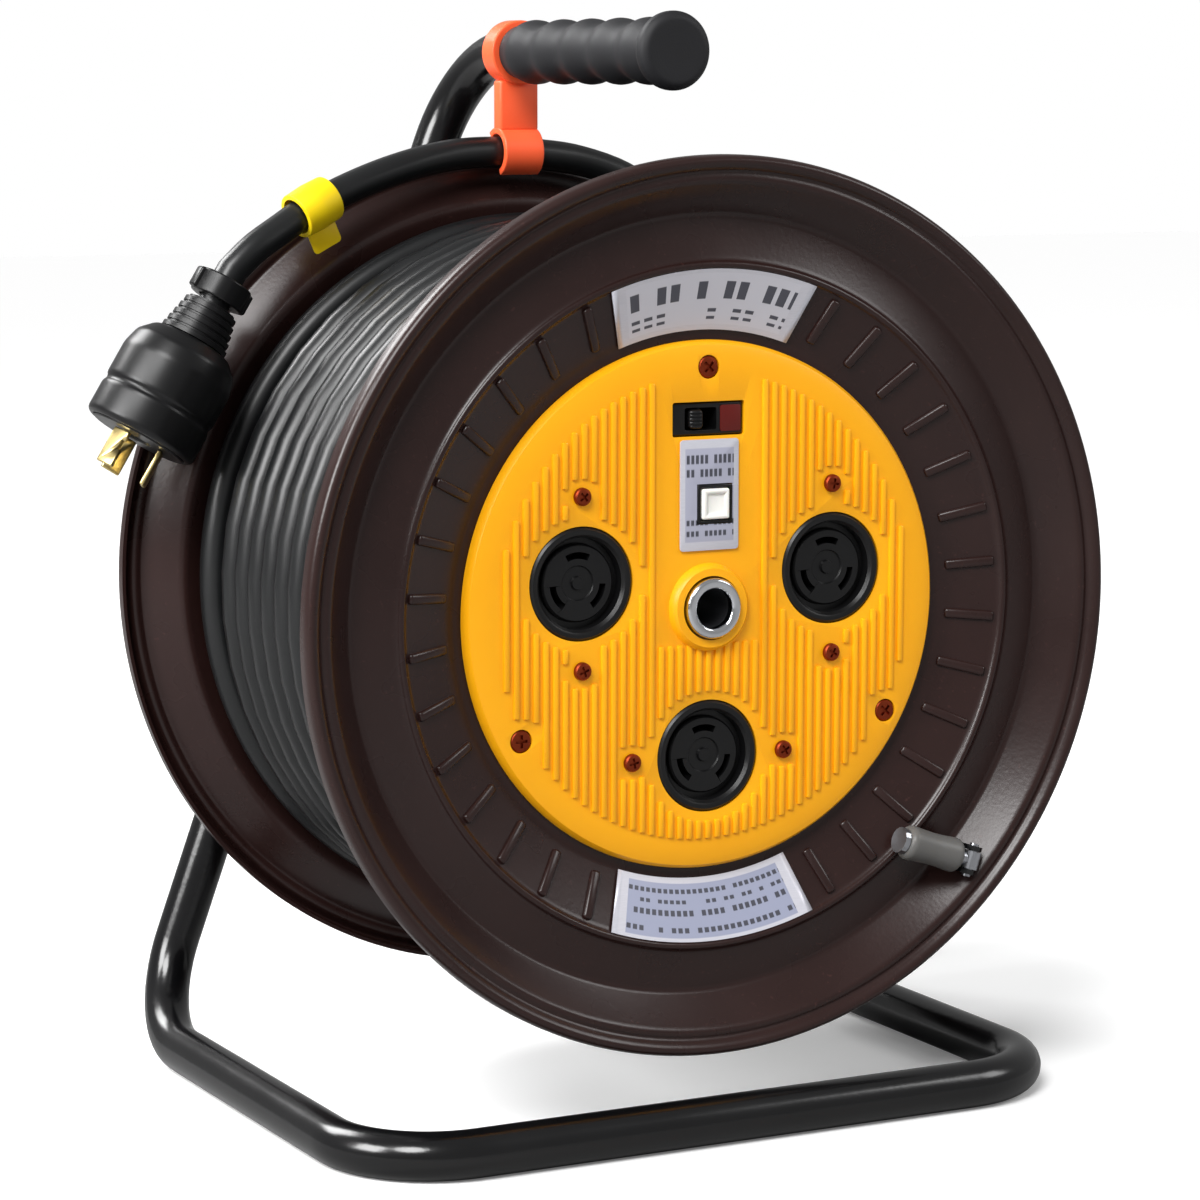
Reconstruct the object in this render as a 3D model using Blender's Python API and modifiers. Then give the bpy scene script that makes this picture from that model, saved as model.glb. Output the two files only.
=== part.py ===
"""Portable cable reel: an extension lead on a steel drum with a socket plate, in a bent-tube stand.

Metres, +Z up. The drum turns about an axle along Y and its socket plate faces -Y. The tube rests on Z = 0.
Depths on the drum are measured from the front flange's rim towards +Y.
"""

import math

import bmesh
import bpy
from mathutils import Matrix, Vector

MM = 0.001
FIT = 0.3 * MM  # gap between pieces that touch
RUNNING = 0.1 * MM  # radial gap of a turning fit

# Drum
FLANGE_RADIUS = 147.5 * MM
DRUM_WIDTH = 168.9 * MM  # from rim to rim
SHEET = 1.2 * MM
RIM_ROLL = 6.2 * MM  # how far the rolled rim reaches inwards
BEAD_INSET = 8.5 * MM  # second bead, from the rim
BEAD_DEPTH = 2.4 * MM
VALLEY_INSET = 19.5 * MM
VALLEY_DEPTH = 13.4 * MM
CREST_INSET = 35.5 * MM
CREST_DEPTH = 8.9 * MM
CORE_RADIUS = 80.0 * MM
CORE_WALL = 1.5 * MM
SEAT_DEPTH = 18.0 * MM
SEAT_MARGIN = 10.0 * MM  # seat beyond the core
SEAT_BORE = 70.0 * MM
LABEL_SPAN = math.radians(40)
LABEL_HEIGHT = 20.0 * MM
LABEL_SHEET = 0.4 * MM

# Cable
CABLE_RADIUS = 5.5 * MM
CABLE_LAYERS = 4
LAYER_PITCH = 11.0 * MM
WINDING_GAP = 0.8 * MM  # winding to flange
SLOT_WIDTH = 12.2 * MM  # left beside the top layer for the tail's first turn

# Where the cable enters the core
GLAND_INSET = 15.0 * MM  # from the rear seat
GLAND_LENGTH = 16.0 * MM
GLAND_NECK_WALL = 1.6 * MM
GLAND_NUT_WALL = 5.0 * MM
TERMINAL_BLOCK = (42.0 * MM, 24.0 * MM, 16.0 * MM)
TERMINAL_DROP = 36.0 * MM  # its top below the axle

# Socket plate
PLATE_RADIUS = 87.3 * MM
PLATE_FACE = 13.0 * MM  # depth of the plate's face
PLATE_WALL = 2.6 * MM
PLATE_ROUND = 2.5 * MM
PLATE_RIM = 2.5 * MM  # thickness of its edge
BOSS_RADIUS = 14.0 * MM
BOSS_RISE = 3.0 * MM
SOCKET_RADIUS = 18.45 * MM
SOCKET_RECESS_RADIUS = 15.0 * MM
SOCKET_RECESS = 5.2 * MM
SOCKET_LENGTH = 36.0 * MM
SOCKET_SLOT = (8.0 * MM, 10.0 * MM, 2.4 * MM)  # width, depth, thickness
SOCKET_SLOT_RADIUS = 9.0 * MM
SIDE_SOCKET = (46.5 * MM, 10.3 * MM)
LOW_SOCKET = (0.0, -49.4 * MM)
SOCKET_SCREW_REACH = 28.3 * MM
SOCKET_EAR = (9.0 * MM, 3.0 * MM)  # width, thickness
SCREW_HEAD_RADIUS = 3.0 * MM
SCREW_SHANK_RADIUS = 1.7 * MM
PLATE_SCREW_CIRCLE = 78.7 * MM
PLATE_SCREW_HEAD_RADIUS = 3.7 * MM
HEAD_THICKNESS = 2.0 * MM
BREAKER_HEIGHT = 61.8 * MM  # above the axle
BREAKER_SIZE = (26.1 * MM, 30.0 * MM, 10.7 * MM)
LEVER_SIZE = (5.0 * MM, 10.6 * MM, 6.4 * MM)
LEVER_X = -2.5 * MM
LEVER_PIVOT_DEPTH = 21.0 * MM
LEVER_TILT = math.radians(16)
BUTTON_CENTRE = (2.0 * MM, 34.0 * MM)
BUTTON_SIDE = 10.0 * MM
BUTTON_LENGTH = 8.0 * MM
BUTTON_TRAVEL = 2.0 * MM
BUTTON_FRAME_SIDE = 12.7 * MM
BUTTON_FRAME_LENGTH = 14.0 * MM
BUTTON_RISE = 1.6 * MM  # ahead of the plate's face
TEST_LABEL = (21.7 * MM, 36.4 * MM)
TEST_LABEL_HEIGHT = 37.0 * MM
TEST_LABEL_SHEET = 0.5 * MM

# Axle and hubs
AXLE_RADIUS = 8.5 * MM
AXLE_BORE = 6.5 * MM
AXLE_RING_RADIUS = 10.0 * MM
AXLE_RING_DEPTH = 7.7 * MM
AXLE_RING_LENGTH = 3.3 * MM
BUSH_WALL = 4.9 * MM
BUSH_LENGTH = 12.0 * MM
HUB_WALL = 2.4 * MM
REAR_COVER_SHEET = 1.5 * MM
REAR_COVER_MARGIN = 4.0 * MM  # inside the seat's edge
TIE_ROD_CIRCLE = 74.5 * MM
TIE_ROD_RADIUS = 2.5 * MM
TIE_ROD_HEAD = (4.6 * MM, 4.0 * MM)  # radius, length

# Stand
TUBE_RADIUS = 7.95 * MM
TUBE_WALL = 1.4 * MM
TUBE_BEND = 35.0 * MM
STAND_HALF_WIDTH = 128.0 * MM  # to the side bars' centre lines
FRONT_GAP = 5.0 * MM  # front bar's centre line ahead of the front rim
REAR_GAP = 28.1 * MM  # legs' centre plane behind the rear rim
GROUND_GAP = 27.85 * MM  # under the flanges
HANDLE_RISE = 33.0 * MM  # handle's centre line above the flanges
RIGHT_LEG_DROP = 40.5 * MM  # below the handle's centre line
AXLE_PLATE = (150.0 * MM, 56.0 * MM, 5.0 * MM)
GUSSET = (38.0 * MM, 30.0 * MM, 3.0 * MM)
NUT_RADIUS = 15.0 * MM
NUT_LENGTH = 8.0 * MM

# Handle
GRIP_RADIUS = 10.3 * MM
GRIP_LOBE = 0.9 * MM
GRIP_LOBE_PITCH = 23.0 * MM
GRIP_START = 43.0 * MM  # depths
GRIP_END = 149.0 * MM
CAP_RADIUS = 13.0 * MM
CAP_FACE = 34.7 * MM
CAP_LENGTH = 8.0 * MM
CAP_SOCKET = 3.0 * MM  # tube inside the cap
CLIP_LENGTH = 9.0 * MM
CLIP_WALL = 3.0 * MM
CLIP_GAP = 1.6 * MM  # clip behind the grip
CLIP_WIDTH = 15.0 * MM
HOOK_WALL = 2.4 * MM
HOOK_GAP = 0.8 * MM
HOOK_START = math.radians(52)
HOOK_END = math.radians(250)

# Folding crank on the front flange
CRANK_ANGLE = math.radians(-43.5)
CRANK_INSET = 14.8 * MM  # pivot, from the rim
CRANK_DEPTH = 2.6 * MM
CRANK_TURN = math.radians(198.4)  # direction of the folded knob, about +Y
CRANK_LENGTH = 30.0 * MM
CRANK_STEM_RADIUS = 2.2 * MM
CRANK_EYE_RADIUS = 3.2 * MM
CRANK_EYE_WIDTH = 6.0 * MM
CRANK_SLEEVE_RADIUS = 6.0 * MM
CRANK_SLEEVE_START = 5.5 * MM
CRANK_HEAD = (4.4 * MM, 2.0 * MM)  # radius, length
PIN_RADIUS = 1.6 * MM
EAR_WALL = 1.6 * MM

# Plug at the cable's free end
PLUG_FACE = (-149.5 * MM, 140.0 * MM, 51.0 * MM)  # x, depth, height above the axle
PLUG_DROP = math.radians(32)  # axis away from straight down
PLUG_RADIUS = 20.0 * MM
PLUG_LENGTH = 38.0 * MM
PLUG_FACE_RADIUS = 17.0 * MM
PLUG_FACE_SHEET = 2.5 * MM
NECK_LENGTH = 13.7 * MM
NECK_RADIUS = 12.0 * MM
COLLAR_START = 54.0 * MM  # behind the face
COLLAR_LENGTH = 8.0 * MM
COLLAR_RADIUS = 11.0 * MM
STRAIGHT_LEAD = 4.0 * MM  # straight cable ahead of the collar
BLADE_CIRCLE = 9.0 * MM
BLADE = (7.0 * MM, 13.0 * MM, 1.6 * MM)  # width, length, thickness
TAG_LENGTH = 15.0 * MM
TAG_RADIUS = 8.6 * MM

# The tail: one turn in the slot beside the winding, then free over the hook to the plug
TAIL_TURN = (math.radians(78), math.radians(396))
TAIL_TURN_STEP = math.radians(11.5)
TAIL_TURN_RADIUS = 119.0 * MM
TAIL_TURN_DEPTH = 148.0 * MM
TAIL_ROUTE_MM = (  # x, depth, height above the axle
    (83.9, 147.8, 86.9),
    (70.8, 147.2, 105.0),
    (56.4, 149.8, 124.6),
    (43.0, 153.4, 136.0),
    (26.0, 155.8, 142.2),
    (10.0, 156.1, 144.6),
    (-8.0, 156.0, 145.6),
    (-26.0, 155.0, 144.6),
    (-45.0, 152.6, 140.8),
    (-64.0, 149.6, 135.0),
    (-82.0, 146.6, 127.6),
    (-96.5, 143.4, 119.6),
    (-106.5, 141.0, 113.8),
)

# Worked out
CLIP_RING_RADIUS = TUBE_RADIUS + FIT + CLIP_WALL
FRONT_BAR_Y = -(FRONT_GAP + DRUM_WIDTH + REAR_GAP) / 2
LEG_Y = -FRONT_BAR_Y
DRUM_Y = FRONT_BAR_Y + FRONT_GAP
AXLE_Z = FLANGE_RADIUS + GROUND_GAP
HANDLE_Z = AXLE_Z + FLANGE_RADIUS + HANDLE_RISE
SEAT_RADIUS = CORE_RADIUS + SEAT_MARGIN
CREST_RADIUS = FLANGE_RADIUS - CREST_INSET
VALLEY_RADIUS = FLANGE_RADIUS - VALLEY_INSET
BEAD_RADIUS = FLANGE_RADIUS - BEAD_INSET
BUSH_RADIUS = AXLE_RADIUS + RUNNING + BUSH_WALL
HUB_BORE = BUSH_RADIUS + FIT
WINDING_RADIUS = CORE_RADIUS + FIT + CABLE_LAYERS * LAYER_PITCH
SLOT_FLOOR = TAIL_TURN_RADIUS - CABLE_RADIUS - 2 * FIT
PLATE_SCREW_ANGLES = [math.radians(a) for a in (90, 210, 330)]
TIE_ROD_ANGLES = [math.radians(a) for a in (45, 135, 225, 315)]
SOCKETS = {  # centre and the direction of its two screws
    "socket_left": ((-SIDE_SOCKET[0], SIDE_SOCKET[1]), (0, 1)),
    "socket_right": (SIDE_SOCKET, (0, 1)),
    "socket_bottom": (LOW_SOCKET, (1, 0)),
}
SOCKET_SCREWS = [
    (x + side * SOCKET_SCREW_REACH * dx, z + side * SOCKET_SCREW_REACH * dz)
    for (x, z), (dx, dz) in SOCKETS.values()
    for side in (-1, 1)
]

ROUND = 72  # segments of the drum's big circles
SMALL = 24
FACE_OUT = (-math.pi / 2, 0, 0)  # turns local +Z to world +Y
COLOURS = {  # hex colour, roughness, metallic
    "flange_paint": ("3A2C2A", 0.35, 0.3),
    "stand_paint": ("151517", 0.25, 0.3),
    "zinc_steel": ("B8BAC0", 0.35, 1.0),
    "chrome_steel": ("DADCE0", 0.12, 1.0),
    "plate_plastic": ("F8B01C", 0.4, 0.0),
    "black_plastic": ("161616", 0.4, 0.0),
    "dark_screw": ("4A1F18", 0.4, 0.6),
    "white_plastic": ("F2F0EA", 0.4, 0.0),
    "label_film": ("C9CBCF", 0.4, 0.2),
    "grey_plastic": ("A9A7A3", 0.45, 0.0),
    "grip_rubber": ("26272A", 0.7, 0.0),
    "clip_plastic": ("FF5A36", 0.4, 0.0),
    "cable_rubber": ("1C1D1E", 0.55, 0.0),
    "tag_vinyl": ("F2D21B", 0.5, 0.0),
    "brass": ("C9A24B", 0.3, 1.0),
    "bronze_bush": ("9A6B3A", 0.4, 1.0),
}


def linear(value):
    return value / 12.92 if value <= 0.04045 else ((value + 0.055) / 1.055) ** 2.4


def material(name):
    if name in bpy.data.materials:
        return bpy.data.materials[name]
    colour, roughness, metallic = COLOURS[name]
    made = bpy.data.materials.new(name)
    made.use_nodes = True
    shader = made.node_tree.nodes["Principled BSDF"]
    channels = [linear(int(colour[i : i + 2], 16) / 255) for i in (0, 2, 4)]
    shader.inputs["Base Color"].default_value = (*channels, 1)
    shader.inputs["Roughness"].default_value = roughness
    shader.inputs["Metallic"].default_value = metallic
    return made


def start_scene():
    """Empties the scene and makes the collections for the parts and for the cutters."""
    for obj in list(bpy.data.objects):
        bpy.data.objects.remove(obj)
    for name in ("cable_reel", "cutters"):
        bpy.context.scene.collection.children.link(bpy.data.collections.new(name))


def place(name, data, colour, parent=None, at=(0, 0, 0), turn=(0, 0, 0)):
    """A part from its mesh or curve."""
    obj = bpy.data.objects.new(name, data)
    bpy.data.collections["cable_reel"].objects.link(obj)
    data.materials.append(material(colour))
    obj.parent = parent
    obj.location = at
    obj.rotation_euler = turn
    return obj


def hide_as_cutter(obj):
    bpy.data.collections["cable_reel"].objects.unlink(obj)
    bpy.data.collections["cutters"].objects.link(obj)
    obj.hide_render = True
    obj.display_type = "WIRE"
    return obj


def pivot(name, parent=None, at=(0, 0, 0), turn=(0, 0, 0)):
    obj = bpy.data.objects.new(name, None)
    bpy.data.collections["cable_reel"].objects.link(obj)
    obj.parent = parent
    obj.location = at
    obj.rotation_euler = turn
    return obj


def profile_mesh(name, points, closed):
    mesh = bpy.data.meshes.new(name)
    count = len(points)
    edges = [(i, (i + 1) % count) for i in range(count if closed else count - 1)]
    mesh.from_pydata([(r, 0, z) for r, z in points], edges, [])
    return mesh


def screw(obj, segments, sweep=2 * math.pi):
    turned_by = obj.modifiers.new("Turn", "SCREW")
    turned_by.angle = sweep
    turned_by.steps = turned_by.render_steps = segments
    turned_by.use_merge_vertices = True
    turned_by.merge_threshold = 0.00001


def turned(name, points, colour, segments=SMALL, **where):
    """A solid turned about local Z from its outline of (radius, height) points."""
    closed = all(r > 0 for r, _ in points)
    area = sum(
        a[0] * b[1] - b[0] * a[1]
        for a, b in zip(points, [*points[1:], points[0]], strict=True)
    )
    if area > 0:
        points = points[::-1]
    obj = place(name, profile_mesh(name, points, closed), colour, **where)
    screw(obj, segments)
    return obj


def ring(name, inner, outer, low, high, colour, segments=SMALL, **where):
    outline = [(inner, low), (outer, low), (outer, high), (inner, high)]
    return turned(name, outline, colour, segments, **where)


def turned_shell(name, points, thickness, colour, segments, sweep=2 * math.pi, **where):
    """Sheet turned about local Z; its thickness is on the far side of the profile."""
    obj = place(name, profile_mesh(name, points, closed=False), colour, **where)
    screw(obj, segments, sweep)
    solid = obj.modifiers.new("Sheet", "SOLIDIFY")
    solid.thickness = thickness
    solid.offset = -1
    solid.use_even_offset = True
    return obj


def block(name, size, colour, bevel=0.0, **where):
    """A box of this size centred on its origin."""
    mesh = bpy.data.meshes.new(name)
    shape = bmesh.new()
    bmesh.ops.create_cube(shape, size=1, matrix=Matrix.Diagonal((*size, 1)))
    shape.to_mesh(mesh)
    shape.free()
    obj = place(name, mesh, colour, **where)
    if bevel:
        rounded = obj.modifiers.new("Bevel", "BEVEL")
        rounded.width = bevel
        rounded.segments = 2
    return obj


def pegs(name, centres, radius, low, high, parent):
    """Cylinders along the drum's axis at these (x, z) places, from one depth to another, as one cutter."""
    mesh = bpy.data.meshes.new(name)
    shape = bmesh.new()
    for x, z in centres:
        bmesh.ops.create_cone(
            shape,
            cap_ends=True,
            segments=20,
            radius1=radius,
            radius2=radius,
            depth=high - low,
            matrix=Matrix.Translation((x, (low + high) / 2, z))
            @ Matrix.Rotation(-math.pi / 2, 4, "X"),
        )
    shape.to_mesh(mesh)
    shape.free()
    return hide_as_cutter(place(name, mesh, "black_plastic", parent))


def polar(angle, radius):
    return radius * math.cos(angle), radius * math.sin(angle)


def combine(obj, other, operation):
    modifier = obj.modifiers.new(other.name, "BOOLEAN")
    modifier.operation = operation
    modifier.solver = "EXACT"
    modifier.object = other


def cut(obj, *cutters):
    for cutter in cutters:
        combine(obj, cutter, "DIFFERENCE")


def join(obj, *others):
    for other in others:
        combine(obj, hide_as_cutter(other), "UNION")


def line_curve(name, points, radius, colour, resolution, wall=0.0, twist="MINIMUM", **where):
    """A round bar along these points, or a tube with this wall."""
    curve = bpy.data.curves.new(name, "CURVE")
    curve.dimensions = "3D"
    spline = curve.splines.new("POLY")
    spline.points.add(len(points) - 1)
    for point, place_at in zip(spline.points, points, strict=True):
        point.co = (*place_at, 1)
    curve.bevel_depth = radius
    curve.bevel_resolution = resolution
    curve.use_fill_caps = not wall
    curve.twist_mode = twist
    obj = place(name, curve, colour, **where)
    if wall:
        hollow = obj.modifiers.new("Wall", "SOLIDIFY")
        hollow.thickness = wall
        hollow.offset = -1
        hollow.use_even_offset = True
    return obj


def flat(name, outlines, thickness, colour, **where):
    """Sheet in local XY from its outline and the outlines of its holes, centred on local Z = 0."""
    curve = bpy.data.curves.new(name, "CURVE")
    curve.dimensions = "2D"
    curve.fill_mode = "BOTH"
    curve.extrude = thickness / 2
    for outline in outlines:
        spline = curve.splines.new("POLY")
        spline.points.add(len(outline) - 1)
        for point, (x, y) in zip(spline.points, outline, strict=True):
            point.co = (x, y, 0, 1)
        spline.use_cyclic_u = True
    return place(name, curve, colour, **where)


def as_mesh(obj):
    """The curve made a welded mesh, for Booleans."""
    graph = bpy.context.evaluated_depsgraph_get()
    graph.update()
    mesh = bpy.data.meshes.new_from_object(obj.evaluated_get(graph))
    shape = bmesh.new()
    shape.from_mesh(mesh)
    bmesh.ops.remove_doubles(shape, verts=shape.verts, dist=0.000001)
    bmesh.ops.recalc_face_normals(shape, faces=shape.faces)
    shape.to_mesh(mesh)
    shape.free()
    name, colour, parent = obj.name, obj.data.materials[0].name, obj.parent
    at, turn = obj.location.copy(), obj.rotation_euler.copy()
    bpy.data.objects.remove(obj)
    mesh.materials.clear()
    return place(name, mesh, colour, parent, at, turn)


def circle(radius, centre=(0, 0), segments=SMALL):
    steps = [2 * math.pi * i / segments for i in range(segments)]
    return [(centre[0] + radius * math.cos(a), centre[1] + radius * math.sin(a)) for a in steps]


def rounded_rectangle(width, height, radius, steps=4):
    points = []
    for quarter, (sx, sy) in enumerate(((1, 1), (-1, 1), (-1, -1), (1, -1))):
        centre = (sx * (width / 2 - radius), sy * (height / 2 - radius))
        for i in range(steps + 1):
            angle = (quarter + i / steps) * math.pi / 2
            points.append((centre[0] + radius * math.cos(angle), centre[1] + radius * math.sin(angle)))
    return points


def rounded_path(corners, radius, steps=7):
    """The corners joined by straight runs, each inner corner rounded to this radius."""
    points = [Vector(corners[0])]
    for before, corner, after in zip(corners, corners[1:], corners[2:], strict=False):
        corner = Vector(corner)
        arriving = (Vector(before) - corner).normalized()
        leaving = (Vector(after) - corner).normalized()
        half = arriving.angle(leaving) / 2
        middle = (arriving + leaving).normalized()
        centre = corner + middle * radius / math.sin(half)
        first = (corner + arriving * radius / math.tan(half) - centre).normalized()
        last = (corner + leaving * radius / math.tan(half) - centre).normalized()
        for i in range(steps + 1):
            points.append(centre + radius * first.slerp(last, i / steps))
    points.append(Vector(corners[-1]))
    return points


def smooth_route(places, spacing):
    """A point every spacing along a Catmull-Rom curve through the places."""
    places = [Vector(p) for p in places]
    padded = [2 * places[0] - places[1], *places, 2 * places[-1] - places[-2]]
    fine = []
    for a, b, c, d in zip(padded, padded[1:], padded[2:], padded[3:], strict=False):
        for i in range(16):
            t = i / 16
            squared = (2 * a - 5 * b + 4 * c - d) * t**2
            cubed = (3 * b - a - 3 * c + d) * t**3
            fine.append(0.5 * (2 * b + (c - a) * t + squared + cubed))
    fine.append(places[-1])
    along = [0.0]
    for a, b in zip(fine, fine[1:], strict=False):
        along.append(along[-1] + (b - a).length)
    count = round(along[-1] / spacing)
    route, k = [], 0
    for i in range(count + 1):
        wanted = along[-1] * i / count
        while k < len(along) - 2 and along[k + 1] < wanted:
            k += 1
        share = (wanted - along[k]) / (along[k + 1] - along[k])
        route.append(fine[k].lerp(fine[k + 1], min(1, max(0, share))))
    return route


def stand_path():
    """Centre line of the tube: right leg's top, round the base, up the left leg, handle's end."""
    apex = Vector((0, LEG_Y, HANDLE_Z))
    rear_right = Vector((STAND_HALF_WIDTH, LEG_Y, TUBE_RADIUS))
    share = RIGHT_LEG_DROP / (HANDLE_Z - TUBE_RADIUS)
    corners = [
        apex.lerp(rear_right, share),
        rear_right,
        (STAND_HALF_WIDTH, FRONT_BAR_Y, TUBE_RADIUS),
        (-STAND_HALF_WIDTH, FRONT_BAR_Y, TUBE_RADIUS),
        (-STAND_HALF_WIDTH, LEG_Y, TUBE_RADIUS),
        apex,
        (0, DRUM_Y + CAP_FACE + CAP_LENGTH - CAP_SOCKET, HANDLE_Z),
    ]
    return rounded_path(corners, TUBE_BEND)


def make_stand():
    line_curve("stand_tube", stand_path(), TUBE_RADIUS, "stand_paint", 4, TUBE_WALL, "Z_UP")
    width, height, sheet = AXLE_PLATE
    plate_y = LEG_Y - TUBE_RADIUS - FIT - sheet / 2
    flat(
        "axle_plate",
        [rounded_rectangle(width, height, 6 * MM), circle(AXLE_RADIUS + FIT)],
        sheet,
        "stand_paint",
        at=(0, plate_y, AXLE_Z),
        turn=FACE_OUT,
    )
    width, height, sheet = GUSSET
    flat(
        "leg_gusset",
        [rounded_rectangle(width, height, 4 * MM)],
        sheet,
        "stand_paint",
        at=(0, LEG_Y - TUBE_RADIUS - FIT - sheet / 2, HANDLE_Z - RIGHT_LEG_DROP - height / 2),
        turn=FACE_OUT,
    )


def make_axle(stand_side, drum_rear):
    """The fixed axle, its front ring, and the spacer and nut that hold it to the plate."""
    axle = pivot("axle_line", at=(0, 0, AXLE_Z), turn=FACE_OUT)
    ring_low = DRUM_Y + AXLE_RING_DEPTH
    plate_low = stand_side - AXLE_PLATE[2]
    nut_low = stand_side + FIT
    ring(
        "axle_end_ring",
        AXLE_BORE,
        AXLE_RING_RADIUS,
        ring_low,
        ring_low + AXLE_RING_LENGTH,
        "chrome_steel",
        32,
        parent=axle,
    )
    ring(
        "axle_tube",
        AXLE_BORE,
        AXLE_RADIUS,
        ring_low + AXLE_RING_LENGTH + FIT,
        nut_low + NUT_LENGTH + FIT,
        "zinc_steel",
        32,
        parent=axle,
    )
    ring(
        "axle_spacer",
        AXLE_RADIUS + FIT,
        BUSH_RADIUS,
        drum_rear + 2 * FIT,
        plate_low - FIT,
        "zinc_steel",
        parent=axle,
    )
    flat(
        "axle_nut",
        [circle(NUT_RADIUS, segments=6), circle(AXLE_RADIUS + FIT)],
        NUT_LENGTH,
        "zinc_steel",
        parent=axle,
        at=(0, 0, nut_low + NUT_LENGTH / 2),
    )


def make_handle():
    handle = pivot("handle_line", at=(0, DRUM_Y, HANDLE_Z), turn=FACE_OUT)
    bore = TUBE_RADIUS + FIT
    lobes = round((GRIP_END - GRIP_START) / GRIP_LOBE_PITCH)
    rings = 4 * lobes
    outline = [(bore, GRIP_END), (bore, GRIP_START)]
    for i in range(rings + 1):
        share = i / rings
        swell = GRIP_LOBE * math.cos(2 * math.pi * lobes * share)
        outline.append((GRIP_RADIUS - swell, GRIP_START + share * (GRIP_END - GRIP_START)))
    turned("handle_grip", outline, "grip_rubber", 20, parent=handle)
    back = CAP_FACE + CAP_LENGTH
    rim = 1.5 * MM
    cap = [
        (0, CAP_FACE),
        (CAP_RADIUS - rim, CAP_FACE),
        (CAP_RADIUS, CAP_FACE + rim),
        (CAP_RADIUS, CAP_FACE + 5 * MM),
        (CAP_RADIUS - rim, back - FIT),
        (bore, back - FIT),
        (bore, back - CAP_SOCKET - FIT),
        (0, back - CAP_SOCKET - FIT),
    ]
    turned("grip_end_cap", cap, "grip_rubber", parent=handle)
    make_clip(handle)


def make_clip(handle):
    """The cable clip: a ring round the handle, a strap and a hook over the cable."""
    start = GRIP_END + CLIP_GAP
    clip = ring(
        "cable_clip",
        TUBE_RADIUS + FIT,
        CLIP_RING_RADIUS,
        start,
        start + CLIP_LENGTH,
        "clip_plastic",
        parent=handle,
    )
    hook_depth = TAIL_ROUTE_MM[6][1] * MM
    hook_drop = HANDLE_Z - AXLE_Z - TAIL_ROUTE_MM[6][2] * MM
    inner = CABLE_RADIUS + HOOK_GAP
    outer = inner + HOOK_WALL
    steps = 14
    angles = [HOOK_START + (HOOK_END - HOOK_START) * i / steps for i in range(steps + 1)]
    hook = [polar(a, outer) for a in angles] + [polar(a, inner) for a in reversed(angles)]
    # The outlines lie in the plane of depth and height, and are extruded along X.
    sideways = (math.pi / 2, 0, math.pi / 2)
    at = (0, DRUM_Y + hook_depth, HANDLE_Z - hook_drop)
    hook_part = as_mesh(flat("clip_hook", [hook], CLIP_WIDTH, "clip_plastic", at=at, turn=sideways))
    low = inner + HOOK_WALL / 2
    high = hook_drop - TUBE_RADIUS - FIT - CLIP_WALL / 2
    strap_part = block(
        "clip_strap",
        (CLIP_WIDTH, 6 * MM, high - low),
        "clip_plastic",
        at=(0, DRUM_Y + start + CLIP_LENGTH / 2, at[2] + (low + high) / 2),
    )
    join(clip, hook_part, strap_part)


def flange_profile():
    return [
        (FLANGE_RADIUS, RIM_ROLL),
        (FLANGE_RADIUS, 1.5 * MM),
        (FLANGE_RADIUS - 2.2 * MM, 0),
        (FLANGE_RADIUS - 5.5 * MM, BEAD_DEPTH + 0.6 * MM),
        (BEAD_RADIUS, BEAD_DEPTH),
        (VALLEY_RADIUS, VALLEY_DEPTH),
        (CREST_RADIUS, CREST_DEPTH),
        (SEAT_RADIUS, SEAT_DEPTH),
        (SEAT_BORE, SEAT_DEPTH),
    ]


def make_flanges(drum):
    rods = pegs(
        "tie_rod_holes",
        [polar(a, TIE_ROD_CIRCLE) for a in TIE_ROD_ANGLES],
        TIE_ROD_RADIUS + FIT,
        0,
        DRUM_WIDTH,
        drum,
    )
    screws = pegs(
        "plate_screw_holes",
        [polar(a, PLATE_SCREW_CIRCLE) for a in PLATE_SCREW_ANGLES],
        SCREW_SHANK_RADIUS + FIT,
        PLATE_FACE - 5 * MM,
        SEAT_DEPTH + 5 * MM,
        drum,
    )
    front = turned_shell(
        "front_flange", flange_profile(), SHEET, "flange_paint", ROUND, parent=drum, turn=FACE_OUT
    )
    cut(front, rods, screws)
    rear = turned_shell(
        "rear_flange",
        flange_profile(),
        SHEET,
        "flange_paint",
        ROUND,
        parent=drum,
        at=(0, DRUM_WIDTH, 0),
        turn=(math.pi / 2, 0, 0),
    )
    cut(rear, rods)
    return rods, screws


def make_core(drum, gland_hole):
    low = SEAT_DEPTH + SHEET + FIT
    core = ring(
        "drum_core",
        CORE_RADIUS - CORE_WALL,
        CORE_RADIUS,
        low,
        DRUM_WIDTH - low,
        "flange_paint",
        ROUND,
        parent=drum,
        turn=FACE_OUT,
    )
    cut(core, gland_hole)


def make_winding(drum):
    """The wound cable's outer shape, following the flanges and stepped down for the tail's first turn."""
    gap = SHEET + WINDING_GAP
    crest = CREST_DEPTH + gap
    slope = (VALLEY_DEPTH - CREST_DEPTH) / (VALLEY_RADIUS - CREST_RADIUS)
    front = crest + (WINDING_RADIUS - CREST_RADIUS) * slope
    seat = SEAT_DEPTH + gap
    inner = CORE_RADIUS + FIT
    slot = TAIL_TURN_DEPTH + CABLE_RADIUS - SLOT_WIDTH
    outline = [
        (inner, seat),
        (SEAT_RADIUS, seat),
        (CREST_RADIUS, crest),
        (WINDING_RADIUS, front),
        (WINDING_RADIUS, slot),
        (SLOT_FLOOR, slot + FIT),
        (SLOT_FLOOR, DRUM_WIDTH - crest - 0.5 * MM),
        (SEAT_RADIUS, DRUM_WIDTH - seat),
        (inner, DRUM_WIDTH - seat),
    ]
    turned("cable_winding", outline, "cable_rubber", ROUND, parent=drum, turn=FACE_OUT)


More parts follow.
